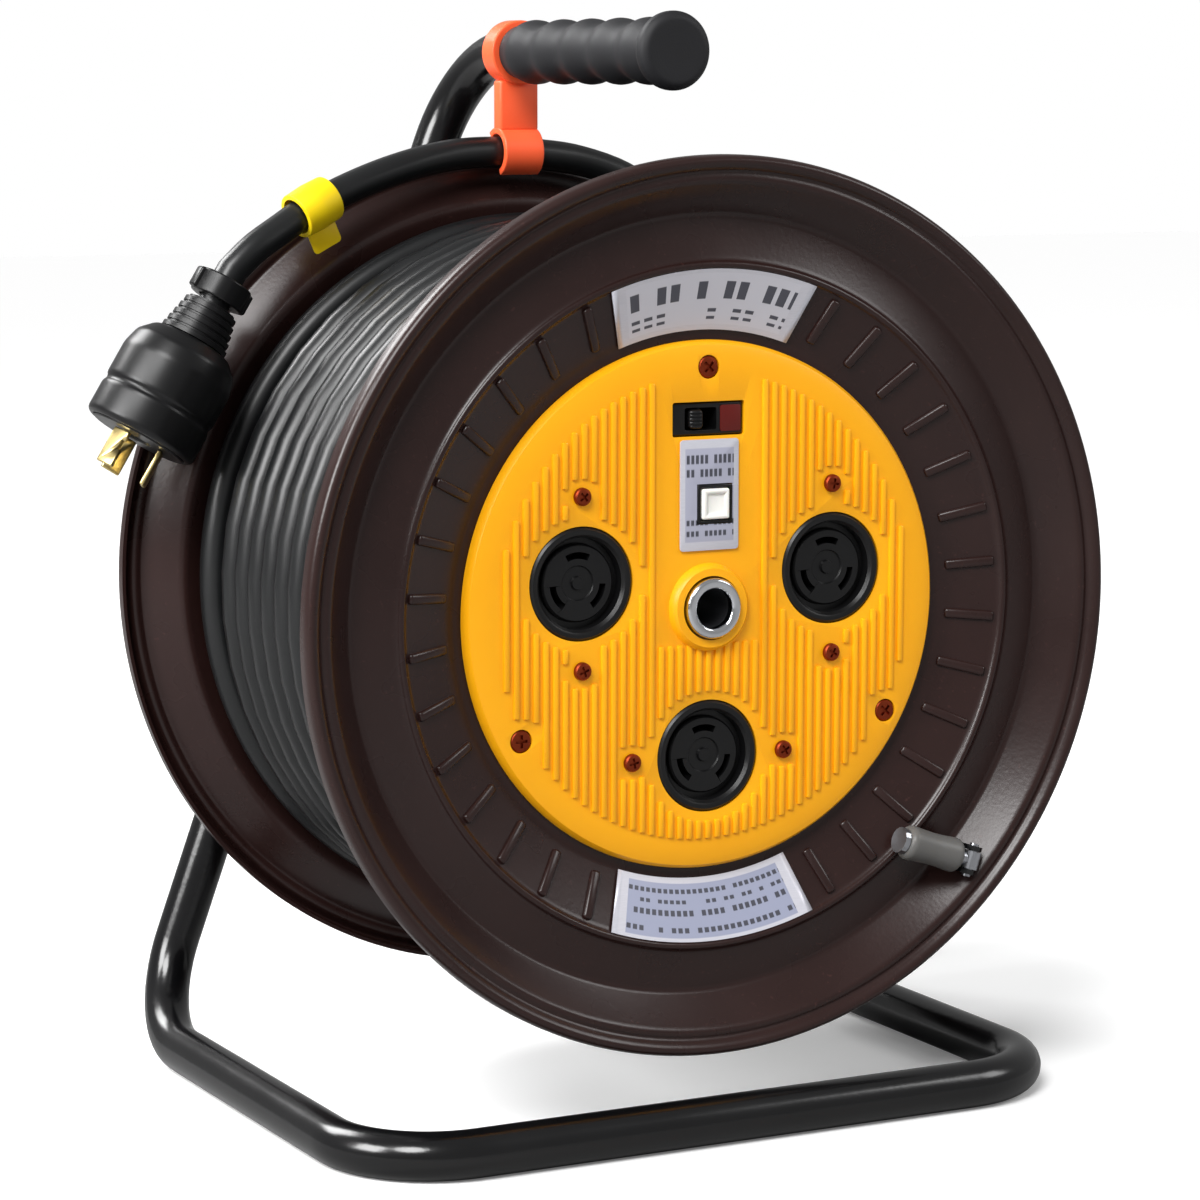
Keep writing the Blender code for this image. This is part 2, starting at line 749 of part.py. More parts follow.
def make_labels(drum):
    """Two blank curved labels on the front flange's cone."""
    run = CREST_RADIUS - SEAT_RADIUS
    fall = SEAT_DEPTH - CREST_DEPTH
    lift = Vector((fall, 0, run)).normalized() * (FIT + LABEL_SHEET)
    outer = CREST_RADIUS - 1.5 * MM
    points = []
    for radius in (outer, outer - LABEL_HEIGHT):
        depth = CREST_DEPTH + (CREST_RADIUS - radius) * fall / run
        points.append((radius - lift.x, depth - lift.z))
    for name, middle in (("sector_label_top", math.pi / 2), ("sector_label_bottom", -math.pi / 2)):
        turned_shell(
            name,
            points,
            LABEL_SHEET,
            "label_film",
            20,
            LABEL_SPAN,
            parent=drum,
            turn=(-math.pi / 2, -(middle + LABEL_SPAN / 2), 0),
        )


def make_face_plate(drum, screw_holes):
    """The socket plate with its boss and hub, and every opening in it."""
    back = PLATE_FACE + PLATE_WALL
    boss_back = PLATE_FACE - BOSS_RISE + PLATE_WALL
    outline = [
        (AXLE_RING_RADIUS + 2 * FIT, PLATE_FACE - BOSS_RISE),
        (BOSS_RADIUS, PLATE_FACE - BOSS_RISE),
        (BOSS_RADIUS, PLATE_FACE),
        (PLATE_RADIUS - PLATE_ROUND, PLATE_FACE),
        (PLATE_RADIUS, PLATE_FACE + PLATE_ROUND),
        (PLATE_RADIUS, SEAT_DEPTH - FIT),
        (PLATE_RADIUS - PLATE_RIM, SEAT_DEPTH - FIT),
        (PLATE_RADIUS - PLATE_RIM, back),
        (HUB_BORE + HUB_WALL, back),
        (HUB_BORE + HUB_WALL, boss_back + BUSH_LENGTH + FIT),
        (HUB_BORE, boss_back + BUSH_LENGTH + FIT),
        (HUB_BORE, boss_back),
        (AXLE_RING_RADIUS + 2 * FIT, boss_back),
    ]
    plate = turned("face_plate", outline, "plate_plastic", ROUND, parent=drum, turn=FACE_OUT)
    sockets = pegs(
        "socket_holes", [centre for centre, _ in SOCKETS.values()], SOCKET_RADIUS + FIT, 0, SEAT_DEPTH, drum
    )
    heads = pegs(
        "plate_screw_heads",
        [polar(a, PLATE_SCREW_CIRCLE) for a in PLATE_SCREW_ANGLES],
        PLATE_SCREW_HEAD_RADIUS + FIT,
        0,
        PLATE_FACE + HEAD_THICKNESS,
        drum,
    )
    shanks = pegs("socket_screw_holes", SOCKET_SCREWS, SCREW_SHANK_RADIUS + FIT, 0, 3 * SEAT_DEPTH, drum)
    width, _, height = BREAKER_SIZE
    window = block(
        "breaker_window",
        (width + 2 * FIT, 2 * SEAT_DEPTH, height + 2 * FIT),
        "black_plastic",
        parent=drum,
        at=(0, PLATE_FACE, BREAKER_HEIGHT),
    )
    side = BUTTON_FRAME_SIDE + 2 * FIT
    button_hole = block(
        "button_hole",
        (side, 2 * SEAT_DEPTH, side),
        "black_plastic",
        parent=drum,
        at=(BUTTON_CENTRE[0], PLATE_FACE, BUTTON_CENTRE[1]),
    )
    cut(plate, sockets, heads, screw_holes, shanks, hide_as_cutter(window), hide_as_cutter(button_hole))
    ring(
        "front_bush",
        AXLE_RADIUS + RUNNING,
        BUSH_RADIUS,
        boss_back + FIT,
        boss_back + BUSH_LENGTH,
        "bronze_bush",
        parent=drum,
        turn=FACE_OUT,
    )
    return shanks, button_hole


def make_socket(name, centre, screw_direction, shanks, drum):
    """One twist-lock socket: recessed face with three slots, and two ears behind the plate."""
    front = PLATE_FACE - 0.4 * MM
    floor = front + SOCKET_RECESS
    outline = [
        (0, floor),
        (SOCKET_RECESS_RADIUS, floor),
        (SOCKET_RECESS_RADIUS, front),
        (SOCKET_RADIUS, front),
        (SOCKET_RADIUS, front + SOCKET_LENGTH),
        (0, front + SOCKET_LENGTH),
    ]
    at = (centre[0], 0, centre[1])
    socket = turned(name, outline, "black_plastic", 32, parent=drum, at=at, turn=FACE_OUT)
    width, thickness = SOCKET_EAR
    reach = 2 * SOCKET_SCREW_REACH + width
    along_x = screw_direction[0] == 1
    size = (reach if along_x else width, thickness, width if along_x else reach)
    ear_depth = PLATE_FACE + PLATE_WALL + FIT + thickness / 2
    ears = block(name + "_ears", size, "black_plastic", parent=drum, at=(centre[0], ear_depth, centre[1]))
    join(socket, ears)
    cut(socket, shanks)
    for i in range(3):
        angle = math.pi / 2 + i * 2 * math.pi / 3
        x, z = polar(angle, SOCKET_SLOT_RADIUS)
        slot = block(
            f"{name}_slot_{i + 1}",
            (SOCKET_SLOT[0], 2 * SOCKET_SLOT[1], SOCKET_SLOT[2]),
            "black_plastic",
            parent=drum,
            at=(centre[0] + x, floor, centre[1] + z),
            turn=(0, math.pi / 2 - angle, 0),
        )
        cut(socket, hide_as_cutter(slot))


def make_screw(name, place_at, head_radius, front, length, drum):
    """A screw into the drum: its head's face at this depth, and its shank behind."""
    back = front + HEAD_THICKNESS
    outline = [
        (0, front),
        (head_radius - 0.5 * MM, front),
        (head_radius, front + 0.6 * MM),
        (head_radius, back),
        (SCREW_SHANK_RADIUS, back),
        (SCREW_SHANK_RADIUS, back + length),
        (0, back + length),
    ]
    turned(name, outline, "dark_screw", 12, parent=drum, at=(place_at[0], 0, place_at[1]), turn=FACE_OUT)


def make_screws(drum):
    head_front = PLATE_FACE - HEAD_THICKNESS - FIT
    for i, place_at in enumerate(SOCKET_SCREWS):
        make_screw(f"socket_screw_{i + 1}", place_at, SCREW_HEAD_RADIUS, head_front, 9 * MM, drum)
    for i, angle in enumerate(PLATE_SCREW_ANGLES):
        front = PLATE_FACE - FIT
        length = SEAT_DEPTH + SHEET - front - HEAD_THICKNESS - FIT / 2
        place_at = polar(angle, PLATE_SCREW_CIRCLE)
        make_screw(f"plate_screw_{i + 1}", place_at, PLATE_SCREW_HEAD_RADIUS, front, length, drum)


def make_breaker(drum):
    width, length, height = BREAKER_SIZE
    front = PLATE_FACE + 0.8 * MM
    body = block(
        "breaker_body",
        BREAKER_SIZE,
        "black_plastic",
        parent=drum,
        at=(0, front + length / 2, BREAKER_HEIGHT),
    )
    lever_width, lever_length, lever_height = LEVER_SIZE
    swing = lever_length * math.sin(LEVER_TILT) + lever_width / 2 + FIT
    pocket = block(
        "lever_pocket",
        (2 * swing, 2 * (LEVER_PIVOT_DEPTH + 4 * MM - front), lever_height + 2 * FIT),
        "black_plastic",
        parent=drum,
        at=(LEVER_X, front, BREAKER_HEIGHT),
    )
    cut(body, hide_as_cutter(pocket))
    hinge = pivot(
        "breaker_hinge", drum, at=(LEVER_X, LEVER_PIVOT_DEPTH, BREAKER_HEIGHT), turn=(0, 0, -LEVER_TILT)
    )
    block(
        "breaker_lever",
        LEVER_SIZE,
        "black_plastic",
        bevel=0.8 * MM,
        parent=hinge,
        at=(0, 1.6 * MM - lever_length / 2, 0),
    )


def make_test_button(drum, button_hole):
    x, z = BUTTON_CENTRE
    front = PLATE_FACE - BUTTON_RISE + 0.4 * MM
    frame = block(
        "test_frame",
        (BUTTON_FRAME_SIDE, BUTTON_FRAME_LENGTH, BUTTON_FRAME_SIDE),
        "black_plastic",
        parent=drum,
        at=(x, front + BUTTON_FRAME_LENGTH / 2, z),
    )
    well_side = BUTTON_SIDE + 2 * FIT
    well_depth = BUTTON_LENGTH + BUTTON_TRAVEL + 1 * MM
    well = block(
        "button_well",
        (well_side, 2 * well_depth, well_side),
        "black_plastic",
        parent=drum,
        at=(x, front, z),
    )
    cut(frame, hide_as_cutter(well))
    button_line = pivot("test_button_line", drum, at=(x, PLATE_FACE - BUTTON_RISE - 0.4 * MM, z))
    block(
        "test_button",
        (BUTTON_SIDE, BUTTON_LENGTH, BUTTON_SIDE),
        "white_plastic",
        bevel=0.6 * MM,
        parent=button_line,
        at=(0, BUTTON_LENGTH / 2, 0),
    )
    label = block(
        "test_label",
        (TEST_LABEL[0], TEST_LABEL_SHEET, TEST_LABEL[1]),
        "label_film",
        parent=drum,
        at=(0, PLATE_FACE - FIT - TEST_LABEL_SHEET / 2, TEST_LABEL_HEIGHT),
    )
    cut(label, button_hole)


def make_rear_cover(drum, rods):
    """The disc that closes the drum behind, with the rear bush in its hub."""
    inner = DRUM_WIDTH - SEAT_DEPTH + FIT
    outer = inner + REAR_COVER_SHEET
    hub_end = inner + BUSH_LENGTH + FIT
    radius = SEAT_RADIUS - REAR_COVER_MARGIN
    outline = [
        (AXLE_RADIUS + 4 * FIT, inner),
        (radius, inner),
        (radius, outer),
        (HUB_BORE + HUB_WALL, outer),
        (HUB_BORE + HUB_WALL, hub_end),
        (HUB_BORE, hub_end),
        (HUB_BORE, outer),
        (AXLE_RADIUS + 4 * FIT, outer),
    ]
    cover = turned("rear_cover", outline, "flange_paint", ROUND, parent=drum, turn=FACE_OUT)
    cut(cover, rods)
    ring(
        "rear_bush",
        AXLE_RADIUS + RUNNING,
        BUSH_RADIUS,
        outer + FIT,
        hub_end,
        "bronze_bush",
        parent=drum,
        turn=FACE_OUT,
    )
    head_radius, head_length = TIE_ROD_HEAD
    low = SEAT_DEPTH - 1.5 * MM
    for i, angle in enumerate(TIE_ROD_ANGLES):
        x, z = polar(angle, TIE_ROD_CIRCLE)
        rod = [
            (0, low),
            (TIE_ROD_RADIUS, low),
            (TIE_ROD_RADIUS, outer + FIT),
            (head_radius, outer + FIT),
            (head_radius, outer + FIT + head_length),
            (0, outer + FIT + head_length),
        ]
        turned(f"tie_rod_{i + 1}", rod, "zinc_steel", 6, parent=drum, at=(x, 0, z), turn=FACE_OUT)
    return hub_end


def make_wiring(drum):
    """The gland in the core's wall, and the lead from it up to the terminal block on the rear cover."""
    depth = DRUM_WIDTH - SEAT_DEPTH - GLAND_INSET
    gland_line = pivot("gland_line", drum, at=(0, depth, 0), turn=(0, math.pi, 0))
    bore = CABLE_RADIUS + FIT
    neck = bore + GLAND_NECK_WALL
    nut = bore + GLAND_NUT_WALL
    shoulder = math.sqrt((CORE_RADIUS - CORE_WALL - FIT) ** 2 - nut**2)
    outline = [
        (bore, shoulder - GLAND_LENGTH),
        (nut, shoulder - GLAND_LENGTH),
        (nut, shoulder),
        (neck, shoulder),
        (neck, CORE_RADIUS - FIT),
        (bore, CORE_RADIUS - FIT),
    ]
    turned("cable_gland", outline, "black_plastic", parent=gland_line)
    beyond = CORE_RADIUS + CORE_WALL
    hole = turned(
        "gland_hole",
        [(0, shoulder - CORE_WALL), (neck + FIT, shoulder - CORE_WALL), (neck + FIT, beyond), (0, beyond)],
        "black_plastic",
        parent=gland_line,
    )
    height = TERMINAL_BLOCK[2]
    block_at = (0, DRUM_WIDTH - SEAT_DEPTH - FIT - TERMINAL_BLOCK[1] / 2, -TERMINAL_DROP - height / 2)
    block("terminal_block", TERMINAL_BLOCK, "black_plastic", bevel=1 * MM, parent=drum, at=block_at)
    lead = [(0, 0, TERMINAL_DROP + height + FIT), (0, 0, CORE_RADIUS - FIT)]
    line_curve("drum_lead", lead, CABLE_RADIUS, "cable_rubber", 2, parent=gland_line)
    return hide_as_cutter(hole)


def make_crank(drum):
    """The folding crank. Local X runs along the folded knob, local Z along the hinge pin."""
    x, z = polar(CRANK_ANGLE, FLANGE_RADIUS - CRANK_INSET)
    hinge = pivot("crank_hinge", drum, at=(x, CRANK_DEPTH, z), turn=(0, CRANK_TURN, 0))
    ear_face = CRANK_EYE_WIDTH / 2 + FIT
    base_width = 2 * (ear_face + EAR_WALL)
    bore = PIN_RADIUS + FIT
    # Ear outline in local X and Y, from the valley's floor to the pin.
    ear = [
        (8.8, 8.6),
        (6.6, 8.6),
        (-2.4, 0.6),
        (-2.4, -1.6),
        (-0.8, -2.8),
        (1.8, -2.8),
        (3.4, -1.0),
        (5.0, 6.8),
        (8.8, 7.2),
    ]
    ear = [(px * MM, py * MM) for px, py in ear]
    base = [(8.8, 8.6), (6.9, 8.6), (5.6, 7.5), (5.6, 6.9), (8.8, 7.2)]
    base = [(px * MM, py * MM) for px, py in base]
    bracket = as_mesh(flat("crank_bracket", [base], base_width, "zinc_steel", parent=hinge))
    for name, side in (("ear_near", -1), ("ear_far", 1)):
        at = (0, 0, side * (ear_face + EAR_WALL / 2))
        outline = [ear, circle(bore, segments=16)]
        plate = as_mesh(flat(name, outline, EAR_WALL, "zinc_steel", parent=hinge, at=at))
        join(bracket, plate)
    pin_half = base_width / 2 + 0.8 * MM
    turned(
        "crank_pin",
        [(0, -pin_half), (PIN_RADIUS, -pin_half), (PIN_RADIUS, pin_half), (0, pin_half)],
        "zinc_steel",
        16,
        parent=hinge,
    )
    eye_half = CRANK_EYE_WIDTH / 2
    stem = ring(
        "crank_stem", PIN_RADIUS + RUNNING, CRANK_EYE_RADIUS, -eye_half, eye_half, "zinc_steel", parent=hinge
    )
    head_radius, head_length = CRANK_HEAD
    rod_start = PIN_RADIUS + 0.8 * MM
    rod = [
        (0, rod_start),
        (CRANK_STEM_RADIUS, rod_start),
        (CRANK_STEM_RADIUS, CRANK_LENGTH - head_length),
        (head_radius, CRANK_LENGTH - head_length),
        (head_radius, CRANK_LENGTH),
        (0, CRANK_LENGTH),
    ]
    along_x = (0, math.pi / 2, 0)
    join(stem, turned("crank_rod", rod, "zinc_steel", 16, parent=hinge, turn=along_x))
    sleeve_end = CRANK_LENGTH - head_length - FIT
    bore = CRANK_STEM_RADIUS + RUNNING
    rim = 1.2 * MM
    sleeve = [
        (bore, CRANK_SLEEVE_START),
        (CRANK_SLEEVE_RADIUS - rim, CRANK_SLEEVE_START),
        (CRANK_SLEEVE_RADIUS, CRANK_SLEEVE_START + rim),
        (CRANK_SLEEVE_RADIUS, sleeve_end - rim),
        (CRANK_SLEEVE_RADIUS - rim, sleeve_end),
        (bore, sleeve_end),
    ]
    turned("crank_sleeve", sleeve, "grey_plastic", parent=hinge, turn=along_x)


def make_plug(drum_front):
    """The twist-lock plug. Its local +Z points out of its face."""
    x, depth, height = PLUG_FACE
    line = pivot(
        "plug_line",
        at=(x, drum_front + depth, AXLE_Z + height),
        turn=(0, math.pi + PLUG_DROP, 0),
    )
    skirt = 8 * MM
    body = [
        (0, -FIT - PLUG_FACE_SHEET),
        (PLUG_FACE_RADIUS + FIT, -FIT - PLUG_FACE_SHEET),
        (PLUG_FACE_RADIUS + FIT, -0.5 * MM),
        (PLUG_RADIUS - 1 * MM, -0.5 * MM),
        (PLUG_RADIUS, -2 * MM),
        (PLUG_RADIUS, skirt - PLUG_LENGTH),
        (NECK_RADIUS + 1 * MM, -PLUG_LENGTH),
        (0, -PLUG_LENGTH),
    ]
    turned("plug_body", body, "black_plastic", 32, parent=line)
    neck_start = PLUG_LENGTH + FIT
    neck_end = neck_start + NECK_LENGTH
    neck = [
        (0, -neck_start),
        (NECK_RADIUS, -neck_start),
        (NECK_RADIUS - 3 * MM, -neck_end),
        (0, -neck_end),
    ]
    turned("plug_neck", neck, "black_plastic", parent=line)
    ring(
        "plug_collar",
        CABLE_RADIUS + 3 * FIT,
        COLLAR_RADIUS,
        -COLLAR_START - COLLAR_LENGTH,
        -COLLAR_START,
        "black_plastic",
        16,
        parent=line,
    )
    face = [(0, -PLUG_FACE_SHEET), (PLUG_FACE_RADIUS, -PLUG_FACE_SHEET), (PLUG_FACE_RADIUS, 0), (0, 0)]
    turned("plug_face", face, "black_plastic", 32, parent=line)
    width, length, thickness = BLADE
    for i in range(3):
        angle = math.pi / 2 + i * 2 * math.pi / 3
        bx, by = polar(angle, BLADE_CIRCLE)
        block(
            f"plug_blade_{i + 1}",
            (width, thickness, length),
            "brass",
            parent=line,
            at=(bx, by, FIT + length / 2),
            turn=(0, 0, angle - math.pi / 2),
        )
    return line, neck_end


def make_tail(drum_front, plug_line, plug_back):
    """The cable's outer end, from the slot beside the winding to the plug, and the tag on it."""
    origin = Vector((0, drum_front, AXLE_Z))
    start, end = TAIL_TURN
    steps = round((end - start) / TAIL_TURN_STEP)
    route = []
    for i in range(steps + 1):
        x, z = polar(start + (end - start) * i / steps, TAIL_TURN_RADIUS)
        route.append(origin + Vector((x, TAIL_TURN_DEPTH, z)))
    route += [origin + Vector(p) * MM for p in TAIL_ROUTE_MM]
    bpy.context.view_layer.update()
    straight_start = COLLAR_START + COLLAR_LENGTH + STRAIGHT_LEAD
    route.append(plug_line.matrix_world @ Vector((0, 0, -straight_start)))
    points = smooth_route(route, 4 * CABLE_RADIUS)
    points.append(plug_line.matrix_world @ Vector((0, 0, -plug_back - FIT)))
    line_curve("cable_tail", points, CABLE_RADIUS, "cable_rubber", 3)
    tag_at = origin + Vector(TAIL_ROUTE_MM[10]) * MM
    heading = Vector(TAIL_ROUTE_MM[11]) - Vector(TAIL_ROUTE_MM[9])
    turn = heading.to_track_quat("Z", "Y").to_euler()
    half = TAG_LENGTH / 2
    ring(
        "cable_tag", CABLE_RADIUS + 3 * FIT, TAG_RADIUS, -half, half, "tag_vinyl", 16, at=tag_at, turn=turn
    )


def main():
    start_scene()
    make_stand()
    drum = pivot("drum_axis", at=(0, DRUM_Y, AXLE_Z))
    rods, screw_holes = make_flanges(drum)
    hub_end = make_rear_cover(drum, rods)
    make_axle(LEG_Y - TUBE_RADIUS, DRUM_Y + hub_end)
    make_handle()
    make_core(drum, make_wiring(drum))
    make_winding(drum)
    make_labels(drum)
    shanks, button_hole = make_face_plate(drum, screw_holes)
    for name, (centre, screw_direction) in SOCKETS.items():
        make_socket(name, centre, screw_direction, shanks, drum)
    make_screws(drum)
    make_breaker(drum)
    make_test_button(drum, button_hole)
    make_crank(drum)
    plug_line, plug_back = make_plug(DRUM_Y)
    make_tail(DRUM_Y, plug_line, plug_back)


main()
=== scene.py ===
"""Portable cable-reel drum: its detailed pieces, cords, finishes and stage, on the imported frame.

Metres, +Z up. The drum turns about an axle along Y and its socket plate faces -Y. A depth is measured from
the front flange's rim towards +Y. A profile is a list of (radius, depth) pairs.
"""

import math

import bpy
from mathutils import Matrix, Vector


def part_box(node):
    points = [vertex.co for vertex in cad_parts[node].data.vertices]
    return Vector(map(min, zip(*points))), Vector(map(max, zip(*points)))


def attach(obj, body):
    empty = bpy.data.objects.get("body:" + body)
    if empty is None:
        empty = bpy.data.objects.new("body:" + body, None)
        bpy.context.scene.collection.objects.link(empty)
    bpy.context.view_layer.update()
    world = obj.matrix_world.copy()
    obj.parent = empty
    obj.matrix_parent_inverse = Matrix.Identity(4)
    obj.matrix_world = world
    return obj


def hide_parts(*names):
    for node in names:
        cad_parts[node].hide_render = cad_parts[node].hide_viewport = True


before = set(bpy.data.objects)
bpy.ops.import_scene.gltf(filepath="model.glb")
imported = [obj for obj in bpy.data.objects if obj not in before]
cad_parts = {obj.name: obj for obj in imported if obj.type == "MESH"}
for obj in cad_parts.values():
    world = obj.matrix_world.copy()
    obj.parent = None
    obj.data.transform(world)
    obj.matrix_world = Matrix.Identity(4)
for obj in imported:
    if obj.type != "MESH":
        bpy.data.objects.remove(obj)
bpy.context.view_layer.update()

bl_info = {
    "name": "Cable Reel",
    "version": (1, 0, 0),
    "blender": (4, 5, 0),
    "location": "3D View > Sidebar > Cable Reel",
    "description": "Models a cable-reel drum with sockets, its wound lead and its stand",
    "category": "Object",
}

MM = 0.001
POLE = 0.002 * MM  # radius that stands for none, merged at the end

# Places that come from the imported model
FLANGE_LOW, FLANGE_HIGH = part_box("front_flange")
DRUM_Y = FLANGE_LOW.y
AXLE_Z = (FLANGE_LOW.z + FLANGE_HIGH.z) / 2
FLANGE_RADIUS = (FLANGE_HIGH.x - FLANGE_LOW.x) / 2
REAR_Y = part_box("rear_flange")[1].y
DRUM_WIDTH = REAR_Y - DRUM_Y
PLATE_RADIUS = (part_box("face_plate")[1].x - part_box("face_plate")[0].x) / 2
TUBE_LOW, TUBE_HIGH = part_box("stand_tube")

# Flange: the ribbed cone between its crest and its seat, and the labels on it
CREST_INSET = 35.5 * MM
CREST_DEPTH = 8.9 * MM
CONE_RUN = 22.0 * MM
CONE_FALL = 9.1 * MM
CONE_SLOPE = math.atan2(CONE_FALL, CONE_RUN)
SEAT_DEPTH = 18.0 * MM
FLANGE_SHEET = 1.2 * MM
RIB_CIRCLE = 101.5 * MM
LABEL_BAND = (91.0 * MM, 111.0 * MM)
LABEL_HALF_ANGLE = math.radians(20)
LABEL_LIFT = 0.95 * MM
LABEL_SHEET = 0.35 * MM

# Socket plate
PLATE_FACE = 13.0 * MM  # depth of its face
SOCKETS = (  # name, node, centre, direction of its two screws
    ("left_socket", "socket_left", (-46.5 * MM, 10.3 * MM), (0, 1)),
    ("right_socket", "socket_right", (46.5 * MM, 10.3 * MM), (0, 1)),
    ("lower_socket", "socket_bottom", (0.0, -49.4 * MM), (1, 0)),
)
SOCKET_RADIUS = 18.45 * MM
SOCKET_SCREW_REACH = 28.3 * MM
SOCKET_SCREW_HEAD = 3.0 * MM
PLATE_SCREW_CIRCLE = 78.7 * MM
PLATE_SCREW_ANGLES = (math.radians(90), math.radians(210), math.radians(330))
PLATE_SCREW_HEAD = 3.7 * MM
RIDGE_REACH = 77.0 * MM  # from the axle to the ridges' ends
RIDGE_EASE = 0.6 * MM
SMOOTH_STRIP = (-18.0 * MM, 20.0 * MM)  # left and right of the strip without ridges
SMOOTH_STRIP_FOOT = -12.0 * MM
SOCKET_HALO = 3.0 * MM  # clear of ridges, past the socket
SOCKET_SCREW_HALO = 5.6 * MM
PLATE_SCREW_HALO = 7.0 * MM
BREAKER_SIZE = (26.1 * MM, 10.7 * MM, 30.0 * MM)
BREAKER_FRONT = 13.8 * MM
BREAKER_HEIGHT = 61.8 * MM  # above the axle
WINDOW = (26.7 * MM, 11.3 * MM)
LEVER_X = -2.5 * MM
LEVER_SIZE = (5.0 * MM, 6.4 * MM, 10.6 * MM)
LEVER_TILT = math.radians(16)
BUTTON_CENTRE = (2.0 * MM, 34.0 * MM)
BUTTON_HOLE = 13.3 * MM
BUTTON_FRAME = 12.7 * MM
BUTTON_FRAME_LENGTH = 14.0 * MM
BUTTON_FRAME_FRONT = 11.8 * MM
TEST_LABEL = (21.7 * MM, 36.4 * MM)
TEST_LABEL_HEIGHT = 37.0 * MM
TEST_LABEL_SHEET = 0.5 * MM

# Axle and rear cover
AXLE_RADIUS = 8.5 * MM
NUT_RADIUS = 15.0 * MM
NUT_BORE = AXLE_RADIUS + 0.3 * MM
HUB_BORE = 13.8 * MM
HUB_OUTSIDE = 16.2 * MM
REAR_COVER_RADIUS = 86.0 * MM
REAR_COVER_INSET = 17.7 * MM  # its inner face, from the rear rim
REAR_COVER_SHEET = 1.5 * MM
BOLT_HEAD = (4.6 * MM, 4.0 * MM)  # radius, length
BOLT_RADIUS = 2.5 * MM

# Stand and handle
TUBE_RADIUS = 7.95 * MM
TUBE_BEND = 35.0 * MM
RIGHT_LEG_DROP = 40.5 * MM  # below the handle's centre line
HANDLE_START = 39.7 * MM  # depth of the handle tube's end
GRIP_SPAN = (43.0 * MM, 149.0 * MM)
GRIP_RADIUS = 10.3 * MM
SLEEVE_BORE = TUBE_RADIUS + 0.3 * MM
CLIP_SPAN = (150.6 * MM, 159.6 * MM)
CLIP_RADIUS = 11.25 * MM
CLIP_WIDTH = 15.0 * MM
CLIP_STRAP = 6.0 * MM
HOOK_RADII = (6.3 * MM, 8.7 * MM)

# Folding crank
CRANK_ANGLE = math.radians(-43.5)
CRANK_INSET = 14.8 * MM
CRANK_DEPTH = 2.6 * MM
CRANK_TURN = math.radians(198.4)

# Plug, in depths behind its face
PLUG_RADIUS = 20.0 * MM
PLUG_LENGTH = 38.0 * MM
NECK_SPAN = (38.3 * MM, 52.0 * MM)
NECK_RADII = (12.0 * MM, 9.0 * MM)
CLAMP_SPAN = (54.0 * MM, 62.0 * MM)
BLADE_SIZE = (7.0 * MM, 1.6 * MM, 13.0 * MM)
BLADE_CIRCLE = 9.0 * MM
TAG_HALF_LENGTH = 7.5 * MM

# The cable's route
CABLE_RADIUS = 5.5 * MM
GLAND_ANGLE = math.radians(270)
GLAND_DEPTH = 135.9 * MM
LAYERS = (  # radius of the centre line, depth at the start, depth at the end
    (85.8 * MM, 135.9 * MM, 25.8 * MM),
    (96.8 * MM, 25.8 * MM, 143.4 * MM),
    (107.8 * MM, 143.4 * MM, 20.8 * MM),
    (118.8 * MM, 20.8 * MM, 136.0 * MM),
)
POINTS_A_TURN = 48
LAST_TURN_ANGLE = math.radians(50)
TAIL_TURN = (math.radians(78), math.radians(396))
TAIL_TURN_RADIUS = 119.0 * MM
TAIL_TURN_DEPTH = 148.0 * MM
TAIL_TURN_STEP = math.radians(11.5)
TAIL_ROUTE_MM = (  # x, depth, height above the axle
    (83.9, 147.8, 86.9),
    (70.8, 147.2, 105.0),
    (56.4, 149.8, 124.6),
    (43.0, 153.4, 136.0),
    (26.0, 155.8, 142.2),
    (10.0, 156.1, 144.6),
    (-8.0, 156.0, 145.6),
    (-26.0, 155.0, 144.6),
    (-45.0, 152.6, 140.8),
    (-64.0, 149.6, 135.0),
    (-82.0, 146.6, 127.6),
    (-96.5, 143.4, 119.6),
    (-106.5, 141.0, 113.8),
)
PLUG_FACE_MM = (-149.5, 140.0, 51.0)
PLUG_DROP = math.radians(32)  # its axis, away from straight down
PLUG_LEAD = (66.0 * MM, 52.3 * MM)  # straight cable behind the plug's face: its start and its end

# Local frames. Local X is to the right, Y is up and Z comes out of the plate, so a depth is a negative Z.
FACING = Matrix.Translation((0, DRUM_Y, AXLE_Z)) @ Matrix.Rotation(math.pi / 2, 4, "X")
FACING_BACK = Matrix.Translation((0, REAR_Y, AXLE_Z)) @ Matrix.Rotation(-math.pi / 2, 4, "X")
HANDLE_Z = (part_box("handle_grip")[0].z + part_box("handle_grip")[1].z) / 2
HANDLE = Matrix.Translation((0, DRUM_Y, HANDLE_Z)) @ Matrix.Rotation(math.pi / 2, 4, "X")
PLUG = Matrix.Translation(
    (PLUG_FACE_MM[0] * MM, DRUM_Y + PLUG_FACE_MM[1] * MM, AXLE_Z + PLUG_FACE_MM[2] * MM)
) @ Matrix.Rotation(math.pi + PLUG_DROP, 4, "Y")


def linear(value):
    """Linear colour with full alpha, from an sRGB hex value."""
    shares = [int(value[i : i + 2], 16) / 255 for i in (0, 2, 4)]
    return (*(s / 12.92 if s <= 0.04045 else ((s + 0.055) / 1.055) ** 2.4 for s in shares), 1.0)


def colour(name, description, value):
    return bpy.props.FloatVectorProperty(
        name=name, description=description, subtype="COLOR", size=4, min=0, max=1, default=linear(value)
    )


def length(name, description, value):
    return bpy.props.FloatProperty(name=name, description=description, unit="LENGTH", min=0, default=value)


